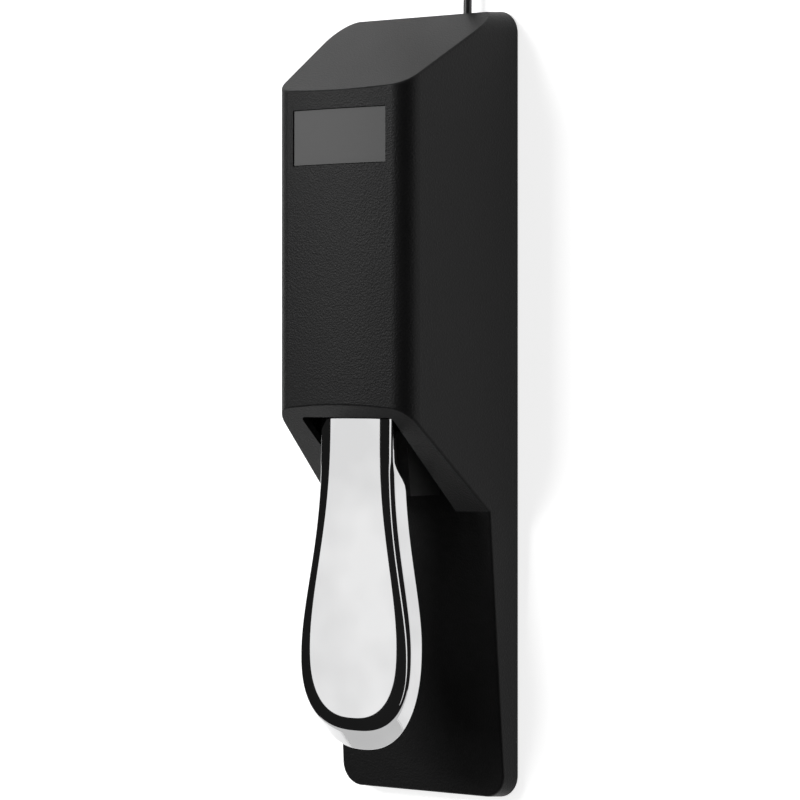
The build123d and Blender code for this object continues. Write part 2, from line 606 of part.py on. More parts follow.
def down_stop():
    """Rubber block under the neck; its nose is cut to the lever's lowest position."""
    front, rear = MOUTH_Y - STOP_FRONT, MOUTH_Y - STOP_REAR
    turn = radians(STROKE)

    def lowest(y):
        """Underside of the pressed lever at y."""
        slope = tan(radians(LEVER_PITCH) - turn)
        under_pivot = lever_flat(PIVOT_Y) - POCKET_ROOF - PIVOT_Z
        return PIVOT_Z + under_pivot / cos(turn) + (PIVOT_Y - y) * slope - STOP_GAP

    shoulder = [(front, FOOT_Z), (front, lowest(front) - STOP_STEP), (rear, lowest(rear) - STOP_STEP),
                (rear, FOOT_Z)]
    nose_front, nose_rear = front + NOSE_INSET, rear - NOSE_INSET
    nose = [(nose_front, FOOT_Z), (nose_front, lowest(nose_front)), (nose_rear, lowest(nose_rear)),
            (nose_rear, FOOT_Z)]
    stop = yz_prism(shoulder, STOP_HALF) + yz_prism(nose, STOP_NOSE)
    for side in (-1, 1):
        stop = stop + disc(PEG_R, side * STOP_NOSE, stop_middle(), FOOT_Z - WALL, FOOT_Z + 1)
    return stop


def return_spring():
    """Compression coil between the seat and the lever."""
    low = PLATE_TOP + SEAT_FLOOR + SPRING_WIRE_R
    high = lever_flat(SPRING_Y + SPRING_R) - LEVER_SHEET - SPRING_WIRE_R - SPRING_GAP
    path = Helix((high - low) / SPRING_TURNS, high - low, SPRING_R)
    wire = sweep(Plane(origin=path @ 0, z_dir=path % 0) * Circle(SPRING_WIRE_R), path=path, is_frenet=True)
    return Pos(0, SPRING_Y, low) * wire


def spring_seat():
    """Plastic cup that holds the spring's foot."""
    cup = disc(SEAT_R, 0, SPRING_Y, PLATE_TOP, PLATE_TOP + 2 * SEAT_FLOOR)
    cup = cup - disc(SPRING_R + SPRING_WIRE_R + PEG_CLEAR, 0, SPRING_Y, PLATE_TOP + SEAT_FLOOR, HEIGHT)
    return cup + disc(peg_radius(), 0, SPRING_Y, PLATE_TOP, PLATE_TOP + SEAT_FLOOR + SEAT_PEG)


# ================================================================ switch
def switch_board():
    """Circuit board on two posts."""
    board = block((-BOARD_X / 2, BOARD_X / 2), (SWITCH_Y - BOARD_Y / 2, SWITCH_Y + BOARD_Y / 2),
                  (BOARD_TOP - BOARD_THICK, BOARD_TOP))
    for x, y in board_post_places():
        board = board - disc(SCREW_R + SCREW_HOLE_GAP, x, y, 0, BOARD_TOP + 1)
    return board


def board_posts():
    """Spacers under the board."""
    return group([disc(POST_R, x, y, PLATE_TOP, PLATE_TOP + POST_HEIGHT)
                  - disc(SCREW_R + SCREW_HOLE_GAP, x, y, 0, BOARD_TOP) for x, y in board_post_places()])


def switch_body():
    """Square push-switch housing with the plunger's bore."""
    half = SWITCH_SIDE / 2 - 1.5
    body = block((-half, half), (SWITCH_Y - half, SWITCH_Y + half), (BOARD_TOP, SWITCH_TOP))
    body = chamfer(body.edges().filter_by(Axis.Z), 0.8)
    return body - disc(STEM_R + STEM_GAP, 0, SWITCH_Y, BOARD_TOP + SWITCH_FLOOR, HEIGHT)


def switch_plunger():
    """Stem with a wide cap that the lever's actuator rides on."""
    stem_end = BOARD_TOP + SWITCH_FLOOR + PLUNGER_TRAVEL + STEM_END_GAP
    stem = disc(STEM_R, 0, SWITCH_Y, stem_end, PLUNGER_TOP)
    return stem + disc(CAP_R, 0, SWITCH_Y, PLUNGER_TOP - CAP_THICK, PLUNGER_TOP)


def polarity_body():
    """Slide-switch housing on the base plate, open below for its carriage."""
    body = block((POLARITY_X - POLARITY_LONG / 2, POLARITY_X + POLARITY_LONG / 2),
                 (POLARITY_Y - POLARITY_WIDE / 2, POLARITY_Y + POLARITY_WIDE / 2),
                 (PLATE_TOP, PLATE_TOP + POLARITY_TALL))
    long = CARRIAGE_LONG / 2 + POLARITY_TRAVEL / 2 + SLIDE_GAP
    wide = CARRIAGE_WIDE / 2 + SLIDE_GAP
    return body - block((POLARITY_X - long, POLARITY_X + long), (POLARITY_Y - wide, POLARITY_Y + wide),
                        (0, PLATE_TOP + CARRIAGE_TALL + 2 * SLIDE_GAP))


def polarity_slider():
    """Carriage and knob, drawn at the left end of the travel."""
    x = POLARITY_X - POLARITY_TRAVEL / 2
    carriage = block((x - CARRIAGE_LONG / 2, x + CARRIAGE_LONG / 2),
                     (POLARITY_Y - CARRIAGE_WIDE / 2, POLARITY_Y + CARRIAGE_WIDE / 2),
                     (PLATE_TOP + SLIDE_GAP, PLATE_TOP + SLIDE_GAP + CARRIAGE_TALL))
    return carriage + block((x - KNOB_LONG / 2, x + KNOB_LONG / 2),
                            (POLARITY_Y - KNOB_WIDE / 2, POLARITY_Y + KNOB_WIDE / 2),
                            (KNOB_BELOW, PLATE_TOP + SLIDE_GAP + CARRIAGE_TALL))


# ================================================================ lead inside the case
def cable_grommet():
    """Bush that fills the rear wall's hole around the lead."""
    inner = rear_inner_y(CABLE_Z)
    outer = REAR_Y - END * (CABLE_Z + GROMMET_R)
    bush_body = rod_y(GROMMET_R, CABLE_X, inner - GROMMET_FLANGE_THICK, outer, CABLE_Z)
    flange = rod_y(GROMMET_R + GROMMET_FLANGE, CABLE_X, inner - GROMMET_FLANGE_THICK, inner, CABLE_Z)
    return bush_body + flange - rod_y(CABLE_R, CABLE_X, inner - WALL, REAR_Y + 1, CABLE_Z)


def cable_clamp():
    """Plastic saddle that takes the pull of the lead."""
    top = CABLE_Z + CABLE_R + CLAMP_TOP
    span = (CABLE_X - CLAMP_FOOT - HEAD_R - 0.5, CABLE_X + CABLE_R + CLAMP_TOP)
    saddle = block(span, (CLAMP_Y - CLAMP_LONG / 2, CLAMP_Y + CLAMP_LONG / 2), (PLATE_TOP, top))
    saddle = saddle - rod_y(CABLE_R, CABLE_X, CLAMP_Y - CLAMP_LONG, CLAMP_Y + CLAMP_LONG, CABLE_Z)
    return saddle - disc(SCREW_R + SCREW_HOLE_GAP, CABLE_X - CLAMP_FOOT, CLAMP_Y, 0, HEIGHT)


def core_wire(start_x, board_x, side):
    """One core, from the jacket's end along the base plate and up to the board."""
    floor = PLATE_TOP + WIRE_R + WIRE_LIFT
    lane = CHEEK_OUT + CLIP_R / 2 + (2 * WIRE_R + WIRE_LIFT) * (1 + side)
    end_y = SWITCH_Y + BOARD_Y / 2 - POST_R - HEAD_R - 1.5 * (1 + side)
    board = BOARD_TOP + WIRE_R
    points = [(start_x, JACKET_END, CABLE_Z), (start_x, JACKET_END - 8, CABLE_Z),
              (lane, JACKET_END - 24, floor), (lane, PIVOT_Y - 4, floor), (lane - 0.8, end_y + 4, floor + 1),
              (lane - 1.2, end_y, board + 1.5), (board_x + 2, end_y, board + 1.2), (board_x, end_y, board)]
    return tube(points, WIRE_R)


def link_wires():
    """Two wires from the polarity switch to the board."""
    floor = PLATE_TOP + WIRE_R + WIRE_LIFT
    front = POLARITY_Y - POLARITY_WIDE / 2
    wires = []
    for i in (0, 1):
        lane = -(CHEEK_OUT + CLIP_R / 2 + (2 * WIRE_R + WIRE_LIFT) * i)
        end_y = SWITCH_Y + 3 * i - 1
        points = [(POLARITY_X - 3 * i, front, PLATE_TOP + 3), (POLARITY_X - 3 * i, front - 5, PLATE_TOP + 3),
                  (lane, front - 14, floor), (lane + 0.2, PIVOT_Y - 4, floor), (lane + 0.6, end_y + 4, floor + 1),
                  (lane + 1, end_y, BOARD_TOP + 2), (-BOARD_X / 2 + 2, end_y, BOARD_TOP + 1.5),
                  (-BOARD_X / 2 + 4, end_y, BOARD_TOP + WIRE_R)]
        wires.append(tube(points, WIRE_R))
    return group(wires)


# ================================================================ lead outside the case
def cable_coil():
    """The put-away length: one ring with the outer shape of its turns."""
    half = COIL_COLUMNS * CABLE_D / 2
    tall = COIL_ROWS * CABLE_D
    ring = disc(COIL_MEAN_R + half, *COIL_CENTRE, COIL_LIFT, COIL_LIFT + tall)
    ring = ring - disc(COIL_MEAN_R - half, *COIL_CENTRE, 0, COIL_LIFT + tall + 1)
    return fillet(ring.edges().filter_by(GeomType.CIRCLE), COIL_EDGE_R)


def cable_tie():
    """Strap around the coil's turns, on the side towards the case."""
    half = COIL_COLUMNS * CABLE_D / 2 + TIE_GAP
    tall = COIL_ROWS * CABLE_D + 2 * TIE_GAP
    middle = COIL_LIFT + COIL_ROWS * CABLE_D / 2

    def section(grow):
        return Pos(COIL_MEAN_R, 0, middle) * Rot(90, 0, 0) * RectangleRounded(
            2 * (half + grow), tall + 2 * grow, COIL_EDGE_R + grow)

    arc = degrees(TIE_WIDE / COIL_MEAN_R)
    band = revolve(section(TIE_THICK) - section(0), axis=Axis.Z, revolution_arc=arc)
    return Pos(*COIL_CENTRE, 0) * Rot(0, 0, -90 - arc / 2) * band


def plug_piece(sections):
    """A turned piece of the plug: (distance from the lead's end, radius) pairs."""
    x, y, z = PLUG_ROUTE[-1]
    face = make_face(Polyline((0, sections[0][0]), *[(r, d) for d, r in sections], (0, sections[-1][0]),
                              close=True))
    return Pos(x, y, z) * Rot(90, 0, 0) * revolve(Rot(90, 0, 0) * face, axis=Axis.Z)


def plug_relief():
    """Tapered boot with three ribs, bored for the lead's end."""
    slope = (RELIEF_HEAD_R - RELIEF_TAIL_R) / RELIEF_LONG
    boot = [(0, RELIEF_TAIL_R)]
    for i in range(3):
        at = 3.0 + 3.0 * i
        grown = RELIEF_TAIL_R + slope * at
        boot += [(at, grown), (at, grown - 0.5), (at + 0.9, grown - 0.5), (at + 0.9, grown)]
    return plug_piece(boot + [(RELIEF_LONG, RELIEF_HEAD_R)])


def plug_handle():
    """Moulded grip."""
    start, end = RELIEF_LONG, RELIEF_LONG + HANDLE_LONG
    return plug_piece([(start, HANDLE_NOSE_R), (start + 2, HANDLE_R), (end - 6, HANDLE_R), (end, HANDLE_NOSE_R)])


def plug_sleeve():
    """Nickel collar and sleeve contact."""
    start = RELIEF_LONG + HANDLE_LONG
    return plug_piece([(start, COLLAR_R), (start + COLLAR_LONG, COLLAR_R), (start + COLLAR_LONG, SLEEVE_R),
                       (start + SLEEVE_LONG, SLEEVE_R)])


def plug_insulator():
    """Ring between the two contacts."""
    start = RELIEF_LONG + HANDLE_LONG + SLEEVE_LONG
    return plug_piece([(start, SLEEVE_R - 0.1), (start + INSULATOR_LONG, SLEEVE_R - 0.1)])


def plug_tip():
    """Tip contact: shoulder, neck, ball and point."""
    start = RELIEF_LONG + HANDLE_LONG + SLEEVE_LONG + INSULATOR_LONG
    return plug_piece([(start, SLEEVE_R), (start + 1.0, SLEEVE_R), (start + 2.4, TIP_NECK_R),
                       (start + 4.0, SLEEVE_R - 0.1), (start + 5.0, SLEEVE_R - 0.2),
                       (start + TIP_LONG - 0.6, 0.9), (start + TIP_LONG, 0.3)])


# ================================================================ places that need other pieces' sizes
POLARITY_Y = PIVOT_Y + POLARITY_BEHIND_PIVOT
SPRING_Y = MOUTH_Y + SPRING_BEHIND_MOUTH
CLAMP_Y = REAR_Y - CLAMP_FROM_REAR
JACKET_END = REAR_Y - JACKET_INSIDE
CABLE_EXIT = (CABLE_X, REAR_Y - END * (CABLE_Z + GROMMET_R), CABLE_Z)


def build():
    """Every node of the pedal by name."""
    through_bracket = PLATE_THICK + BRACKET_SHEET
    through_board = BOARD_TOP - MAT_THICK
    clamp_top = CABLE_Z + CABLE_R + CLAMP_TOP
    free = [CABLE_EXIT] + CABLE_ROUTE
    print("bend radii of the free lead:", [round(r, 1) for r in turn_radii(free) + turn_radii(PLUG_ROUTE)])
    return {
        "upper_case": upper_case(),
        "badge_plate": badge_plate(),
        "base_plate": base_plate(),
        "rubber_mat": rubber_mat(),
        "case_screws": group([screw(x, y, MAT_THICK, CASE_SCREW_LONG, head_up=False)
                              for x, y in screw_places()]),
        "pedal_lever": pedal_lever(),
        "pivot_bush_left": bush(-1),
        "pivot_bush_right": bush(1),
        "pivot_bracket": pivot_bracket(),
        "bracket_screws": group([screw(x, y, PLATE_TOP + BRACKET_SHEET, through_bracket)
                                 for x, y in bracket_screw_places()]),
        "pivot_shaft": pivot_shaft(),
        "shaft_clip_left": shaft_clip(-1),
        "shaft_clip_right": shaft_clip(1),
        "up_stop_pad": up_stop_pad(),
        "down_stop": down_stop(),
        "return_spring": return_spring(),
        "spring_seat": spring_seat(),
        "switch_board": switch_board(),
        "board_posts": board_posts(),
        "board_screws": group([screw(x, y, BOARD_TOP, through_board) for x, y in board_post_places()]),
        "switch_body": switch_body(),
        "switch_plunger": switch_plunger(),
        "polarity_body": polarity_body(),
        "polarity_slider": polarity_slider(),
        "cable_grommet": cable_grommet(),
        "cable_inner": rod_y(CABLE_R, CABLE_X, JACKET_END, CABLE_EXIT[1], CABLE_Z),
        "cable_clamp": cable_clamp(),
        "clamp_screw": screw(CABLE_X - CLAMP_FOOT, CLAMP_Y, clamp_top, clamp_top - MAT_THICK),
        "signal_wire": core_wire(CABLE_X - WIRE_R - 0.05, BOARD_X / 4, 0),
        "ground_wire": core_wire(CABLE_X + WIRE_R + 0.05, BOARD_X / 4, 1),
        "link_wires": link_wires(),
        "cable": tube(free, CABLE_R),
        "cable_coil": cable_coil(),
        "cable_end": tube(PLUG_ROUTE, CABLE_R),
        "cable_tie": cable_tie(),
        "plug_relief": plug_relief(),
        "plug_handle": plug_handle(),
        "plug_sleeve": plug_sleeve(),
        "plug_insulator": plug_insulator(),
        "plug_tip": plug_tip(),
    }


os.makedirs("parts", exist_ok=True)
for name, piece in build().items():
    export_step(piece, f"parts/{name}.step")
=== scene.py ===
# %% [markdown]
# # A piano-style sustain pedal
# The engineering model is loaded first and stays where it is. Everything made here is dressed onto it: a
# polished lever, a real lead, moulded textures, and the light of a small product studio. All sizes are in
# metres, and +Y runs from the toe of the pedal to the end where its lead comes out.

# %% Load the engineering model
import bmesh
import bpy
from math import atan2, cos, pi, radians, sin
from mathutils import Matrix, Vector


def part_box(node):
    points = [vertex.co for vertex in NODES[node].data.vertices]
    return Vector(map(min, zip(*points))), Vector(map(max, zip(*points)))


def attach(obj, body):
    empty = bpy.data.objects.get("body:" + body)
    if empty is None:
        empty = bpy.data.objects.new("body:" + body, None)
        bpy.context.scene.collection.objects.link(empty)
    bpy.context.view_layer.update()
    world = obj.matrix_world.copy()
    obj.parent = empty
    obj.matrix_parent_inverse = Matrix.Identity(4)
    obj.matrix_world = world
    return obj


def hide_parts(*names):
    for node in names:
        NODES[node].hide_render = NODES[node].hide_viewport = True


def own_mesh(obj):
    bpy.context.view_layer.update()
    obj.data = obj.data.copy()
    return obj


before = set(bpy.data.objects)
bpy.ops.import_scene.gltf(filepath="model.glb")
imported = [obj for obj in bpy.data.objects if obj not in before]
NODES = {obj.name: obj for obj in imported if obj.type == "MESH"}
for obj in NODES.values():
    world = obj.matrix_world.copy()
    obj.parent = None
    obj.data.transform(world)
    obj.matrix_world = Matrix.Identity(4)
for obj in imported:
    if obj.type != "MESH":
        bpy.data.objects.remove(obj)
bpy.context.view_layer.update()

MM = 0.001

# %% [markdown]
# ## Camera
# The pedal is seen from above and from its right, with its length running up the picture, as in a
# catalogue. A long lens from more than a metre away keeps its long sides nearly parallel. The camera is
# placed by three directions: where the picture's right, its top and the camera's back point in the room.

# %% Place the camera
SEEN_FROM = radians(38.0)      # lean of the view from straight above, towards +X
CAMERA_PLACE = Vector((0.7085, 0.00921, 0.9261))
FOCAL_LENGTH_MM = 156.1
SENSOR_MM = 36.0
FRAME_SHIFT = -0.0296          # the frame sits a little lower than the lens points

to_right = Vector((cos(SEEN_FROM), 0.0, -sin(SEEN_FROM)))
to_top = Vector((0.0, 1.0, 0.0))
to_back = Vector((sin(SEEN_FROM), 0.0, cos(SEEN_FROM)))
camera_data = bpy.data.cameras.new("camera")
camera_data.sensor_width = SENSOR_MM
camera_data.lens = FOCAL_LENGTH_MM
camera_data.shift_y = FRAME_SHIFT
camera = bpy.data.objects.new("camera", camera_data)
bpy.context.scene.collection.objects.link(camera)
turn = Matrix((to_right, to_top, to_back)).transposed().to_4x4()
camera.matrix_world = Matrix.Translation(CAMERA_PLACE) @ turn
bpy.context.scene.camera = camera
print("camera at", [round(v, 3) for v in CAMERA_PLACE])

# %% [markdown]
# ## A small language for finishes
# A material in Blender is a graph of nodes. Written out by hand it hides its own meaning, so one small
# class wraps an output socket and lets ordinary arithmetic build the Math nodes. The reflected forms let a
# plain number stand first, as in 1 - mask.

# %% Wires
class Wire:
    """One output socket. Arithmetic on it adds Math nodes."""

    def __init__(self, finish, socket):
        self.finish = finish
        self.socket = socket

    def math(self, operation, first, second):
        return self.finish.node("ShaderNodeMath", {"operation": operation}, {0: first, 1: second})

    def __add__(self, other):
        return self.math("ADD", self, other)

    def __sub__(self, other):
        return self.math("SUBTRACT", self, other)

    def __mul__(self, other):
        return self.math("MULTIPLY", self, other)

    def __rsub__(self, other):
        return self.math("SUBTRACT", other, self)

    __radd__ = __add__
    __rmul__ = __mul__


print("wires ready")

# %% [markdown]
# ## Finishes
# A second class holds one material, built on the Principled shader. Wear and grain could come from painted
# images, but those have one resolution and one layout. Noise and scattered cells, measured in metres in the
# piece's own space, are as fine as a close view needs, so the class names those few patterns.

# %% Finishes
class Finish:
    """A material being built on one Principled shader."""

    def __init__(self, name, **constants):
        self.material = bpy.data.materials.new(name)
        self.material.use_nodes = True
        self.tree = self.material.node_tree
        self.shader = self.tree.nodes["Principled BSDF"]
        for socket, value in constants.items():
            self.shader.inputs[socket.replace("_", " ")].default_value = value

    def node(self, kind, settings=None, feeds=None, output=0):
        """Add a node: its settings first, then the values or wires of its sockets."""
        made = self.tree.nodes.new(kind)
        for name, value in (settings or {}).items():
            if name == "stops":
                self.set_stops(made.color_ramp, value)
            else:
                setattr(made, name, value)
        for name, value in (feeds or {}).items():
            self.feed(made.inputs[name], value)
        return Wire(self, made.outputs[output])

    def set_stops(self, ramp, stops):
        """Ramp stops as (place, grey) pairs."""
        while len(ramp.elements) < len(stops):
            ramp.elements.new(0.5)
        for element, (place, grey) in zip(ramp.elements, stops):
            element.position = place
            element.color = (grey, grey, grey, 1.0)

    def feed(self, socket, value):
        """Put a wire or a plain value on a socket."""
        if isinstance(value, Wire):
            self.tree.links.new(value.socket, socket)
        else:
            socket.default_value = value

    def set(self, **wires):
        """Feed the shader's own sockets."""
        for name, value in wires.items():
            self.feed(self.shader.inputs[name.replace("_", " ")], value)

    def place(self):
        """Where on the piece a point is, in metres."""
        return self.node("ShaderNodeTexCoord", output="Object")

    def grain(self, size, detail=2.0, roughness=0.5, stretch=(1.0, 1.0, 1.0)):
        """Noise whose cells are about `size` metres, 0 to 1."""
        where = self.node("ShaderNodeMapping", feeds={"Vector": self.place(), "Scale": stretch})
        return self.node("ShaderNodeTexNoise", feeds={
            "Vector": where, "Scale": 1.0 / size, "Detail": detail, "Roughness": roughness})

    def cells(self, size, feature="F1"):
        """Distance to the nearest of scattered points about `size` metres apart."""
        return self.node("ShaderNodeTexVoronoi", {"feature": feature}, {
            "Vector": self.place(), "Scale": 1.0 / size}, output="Distance")

    def bump(self, height, depth):
        """A normal from a height, `depth` metres deep where the height is 1."""
        return self.node("ShaderNodeBump", feeds={"Height": height, "Distance": depth})

    def mix(self, share, first, second):
        """A colour between two, by a share from 0 to 1."""
        return self.node("ShaderNodeMix", {"data_type": "RGBA"}, {0: share, 6: first, 7: second}, output=2)

    def steps(self, value, *stops):
        """A value remapped through (place, grey) stops."""
        return self.node("ShaderNodeValToRGB", {"stops": stops}, {0: value})


print("finishes ready")

# %% [markdown]
# ## Colours
# Almost everything here is black, grey or bare metal. A grey is written as one level, and a metal as the
# share of red, green and blue light that it reflects.

# %% Colours
def grey(level, blue=0.0):
    """A neutral colour, a little to the blue."""
    return (level, level, level * (1.0 + blue), 1.0)


def tinted(colour, share=1.0):
    """A colour, or a share of it, with the alpha that a colour socket wants."""
    return tuple(part * share for part in colour) + (1.0,)


print("a mid grey:", grey(0.18))

# %% [markdown]
# ## The floor
# The pedal stands on a white light table, as small goods do in a product studio. The table glows a little
# from within, so that no hard shadow forms around the pedal. One large sheet is enough, because it is no
# part of the object.

# %% Lay the floor
TABLE_HALF = 3.0
TABLE_GLOW = 0.76


def plain_sheet(name, half):
    """A square sheet on the floor."""
    mesh = bpy.data.meshes.new(name)
    corners = [(-half, -half, 0), (half, -half, 0), (half, half, 0), (-half, half, 0)]
    mesh.from_pydata(corners, [], [(0, 1, 2, 3)])
    made = bpy.data.objects.new(name, mesh)
    bpy.context.scene.collection.objects.link(made)
    return made


floor = plain_sheet("light_table", TABLE_HALF)
table_finish = Finish("light_table", Base_Color=grey(0.9), Roughness=0.8,
                      Emission_Color=grey(1.0), Emission_Strength=TABLE_GLOW)
table_finish.set(Base_Color=table_finish.mix(table_finish.grain(0.4), grey(0.88), grey(0.92)))
floor.data.materials.append(table_finish.material)
print("light table:", 2 * TABLE_HALF, "m square")

# %% [markdown]
# ## The lights
# A polished lever shows the room rather than itself, so the room is built for it: one compact soft box for
# its flat, a thin strip overhead for the line along its rim, a low card in front for its toe and one behind
# for views from the front. Everything between them stays dark, which draws the dark ring round the flat. A
# second box further back is seen by the roof of the case and not by the lever. Each light is given by its
# brightness, so that its size can change without changing how bright it looks in the chrome.

# %% Hang the lights
LIGHTS_AIM = Vector((0.0, 0.0, 0.04))
ROOM_GREY = 0.016
OVAL_SHARE = pi / 4            # an oval's area as a share of its box

world = bpy.data.worlds.new("dim_room")
world.use_nodes = True
world.node_tree.nodes["Background"].inputs["Color"].default_value = grey(ROOM_GREY)
bpy.context.scene.world = world
bpy.context.scene.view_settings.view_transform = "Standard"


def soft_light(name, lean, forward, distance, width, length, glow, shape="RECTANGLE"):
    """An area light of brightness `glow`.

    It hangs `lean` degrees from straight up towards +X, tipped `forward` degrees towards the toe, at
    `distance`. It is `width` across and `length` along the pedal, all in metres.
    """
    side = radians(lean)
    ahead = radians(forward)
    away = Vector((sin(side) * cos(ahead), -sin(ahead), cos(side) * cos(ahead))).normalized()
    long_way = (Vector((0, 1, 0)) - away * away.y).normalized()
    wide_way = long_way.cross(away)
    light = bpy.data.lights.new(name, "AREA")
    light.shape = shape
    light.size = width
    light.size_y = length
    light.energy = glow * pi * width * length * (OVAL_SHARE if shape == "ELLIPSE" else 1.0)
    lamp = bpy.data.objects.new(name, light)
    facing = Matrix((wide_way, long_way, away)).transposed().to_4x4()
    lamp.matrix_world = Matrix.Translation(LIGHTS_AIM + away * distance) @ facing
    bpy.context.scene.collection.objects.link(lamp)


soft_light("flat_box", -38.0, 0.0, 1.2, 0.56, 0.70, 1.28, shape="ELLIPSE")
soft_light("rim_strip", -5.0, 0.0, 1.2, 0.11, 1.1, 1.3)
soft_light("toe_card", 0.0, 78.0, 1.0, 3.4, 0.46, 0.80)
soft_light("roof_box", -36.0, -21.0, 1.2, 0.6, 0.40, 12.5)
soft_light("back_card", 0.0, -66.0, 1.6, 4.4, 1.1, 0.5)

# %% [markdown]
# ## The moulded case
# The case is injection-moulded plastic with a fine spark-eroded grain: the mould was etched so that the
# surface scatters light and hides finger marks. It could be an image laid over the piece, but then it would
# stretch on the slopes. Noise in the piece's own space wraps round every corner. Two sizes of bumps make
# it, small round ones like an etched mould's pits and a finer noise between them, and the gloss drifts a
# little with the grain.

# %% Case finish
DRIFT_SIZE = 30 * MM


def moulded(name, level, gloss_low, gloss_high, grain_size, depth, specular=0.5):
    """Grained plastic: round pits, finer noise, and gloss that drifts a little over the piece."""
    finish = Finish(name, IOR=1.5, Specular_IOR_Level=specular)
    pits = finish.steps(finish.cells(grain_size, "SMOOTH_F1"), (0.1, 0.0), (0.7, 1.0))
    fine = finish.grain(grain_size * 0.45, detail=3.0)
    drift = finish.grain(DRIFT_SIZE, detail=3.0)
    finish.set(
        Base_Color=finish.mix(fine * 0.6 + drift * 0.4, grey(level * 0.75, 0.03), grey(level * 1.25, 0.03)),
        Roughness=gloss_low + (gloss_high - gloss_low) * (drift * 0.6 + fine * 0.4),
        Normal=finish.bump(pits * 0.6 + fine * 0.5, depth),
    )
    return finish


def dress(node, finish):
    """Give a CAD node its finish."""
    NODES[node].data.materials.clear()
    NODES[node].data.materials.append(finish.material)


case_plastic = moulded("case_plastic", level=0.0078, gloss_low=0.40, gloss_high=0.52,
                       grain_size=0.55 * MM, depth=0.09 * MM, specular=0.145)
dress("upper_case", case_plastic)
print("case finish:", len(case_plastic.tree.nodes), "nodes")

# %% [markdown]
# ## The badge
# A plain plate sits in a shallow recess of the roof. It is smoother than the case and printed in a mid
# grey, so it reads as one even tone. Only a faint brushed direction and a slight unevenness of gloss show
# up close, and one stretched noise gives both.

# %% Badge finish
badge = Finish("badge_plastic", Specular_IOR_Level=0.3)
brushed = badge.grain(0.6 * MM, detail=4.0, stretch=(0.04, 1.0, 1.0))
badge.set(
    Base_Color=badge.mix(brushed, grey(0.100), grey(0.115)),
    Roughness=0.52 + 0.14 * brushed,
    Normal=badge.bump(brushed, 0.01 * MM),
)
dress("badge_plate", badge)
print("badge finish:", len(badge.tree.nodes), "nodes")

# %% [markdown]
# ## Chrome and bare metals
# Chromium plate is close to a mirror, but it only sends back about three fifths of the light, and wiping
# leaves hair-thin scratches that widen its highlights. Zinc plate on the hidden sheet steel is duller, with
# a cloudy crystal pattern. Ground shafts carry rings of fine lines around them. Three kinds of metal, each
# a small function where more than one piece shares it, keep the settings side by side.

# %% Metal finishes
chrome = Finish("lever_chrome", Metallic=1.0)
wipe = chrome.grain(1.2 * MM, detail=5.0, roughness=0.7, stretch=(1.0, 0.05, 1.0))
haze = chrome.steps(chrome.grain(30 * MM, detail=2.0), (0.36, 0.0), (0.64, 1.0))
chrome.set(
    Base_Color=chrome.mix(haze, grey(0.535, 0.006), grey(0.625, 0.004)),
    Roughness=0.035 + 0.03 * wipe * haze,
    Normal=chrome.bump(chrome.grain(20 * MM, detail=1.0), 0.02 * MM),
)


def plated_sheet(name, level, crystal=4 * MM):
    """Zinc-plated steel with its cloudy crystals."""
    finish = Finish(name, Metallic=1.0)
    cloud = finish.cells(crystal)
    fine = finish.grain(crystal / 8, detail=4.0)
    dull = (level * 0.85, level * 0.86, level * 0.88, 1.0)
    finish.set(
        Base_Color=finish.mix(cloud * 0.7 + fine * 0.3, dull, grey(level)),
        Roughness=0.28 + 0.2 * cloud + 0.08 * fine,
        Normal=finish.bump(fine, 0.01 * MM),
    )
    return finish


def turned_metal(name, colour, stretch=(1.0, 0.1, 1.0)):
    """Ground or turned metal with fine lines."""
    finish = Finish(name, Metallic=1.0)
    lines = finish.grain(0.3 * MM, detail=3.0, stretch=stretch)
    cloud = finish.grain(6 * MM)
    finish.set(
        Base_Color=finish.mix(cloud, tinted(colour, 0.88), tinted(colour)),
        Roughness=0.18 + 0.16 * lines,
        Normal=finish.bump(lines, 0.008 * MM),
    )
    return finish


zinc = plated_sheet("zinc_steel", 0.58)
screw_steel = turned_metal("screw_steel", (0.44, 0.44, 0.45))
shaft_steel = turned_metal("shaft_steel", (0.50, 0.50, 0.51), stretch=(0.1, 1.0, 1.0))
spring_steel = turned_metal("spring_steel", (0.40, 0.40, 0.41))
plug_nickel = turned_metal("plug_nickel", (0.66, 0.62, 0.56))
METAL_PIECES = {
    "base_plate": zinc, "pivot_bracket": zinc, "bracket_screws": screw_steel, "board_screws": screw_steel,
    "clamp_screw": screw_steel, "pivot_shaft": shaft_steel, "shaft_clip_left": shaft_steel,
    "shaft_clip_right": shaft_steel, "plug_sleeve": plug_nickel, "plug_tip": plug_nickel,
}
for node, finish in METAL_PIECES.items():
    dress(node, finish)
print("metal pieces:", len(METAL_PIECES))

# %% [markdown]
# ## Rubber, felt, nylon and laminate
# The pieces that touch the floor and the lever are soft: a ribbed mat, a rubber block that stops the lever,
# a felt pad that stops it coming back. Rubber is dull with a pale dusty bloom, felt is a mat of short
# fibres, natural nylon is milky, and the switch sits on a brown paper laminate. One function for each kind
# of stuff, with its colour given, is enough for all the small pieces.

# %% Soft and moulded finishes
def rubber(name, level):
    """Dull rubber with a faint bloom and a fine tooth."""
    finish = Finish(name, Specular_IOR_Level=0.35)
    bloom = finish.grain(8 * MM, detail=4.0)
    dusty = finish.steps(bloom, (0.35, 0.0), (0.75, 1.0))
    tooth = finish.grain(0.4 * MM, detail=2.0)
    finish.set(
        Base_Color=finish.mix(1 - dusty, grey(level * 1.6), grey(level)),
        Roughness=0.62 + 0.22 * bloom,
        Normal=finish.bump(tooth, 0.04 * MM),
    )
    return finish


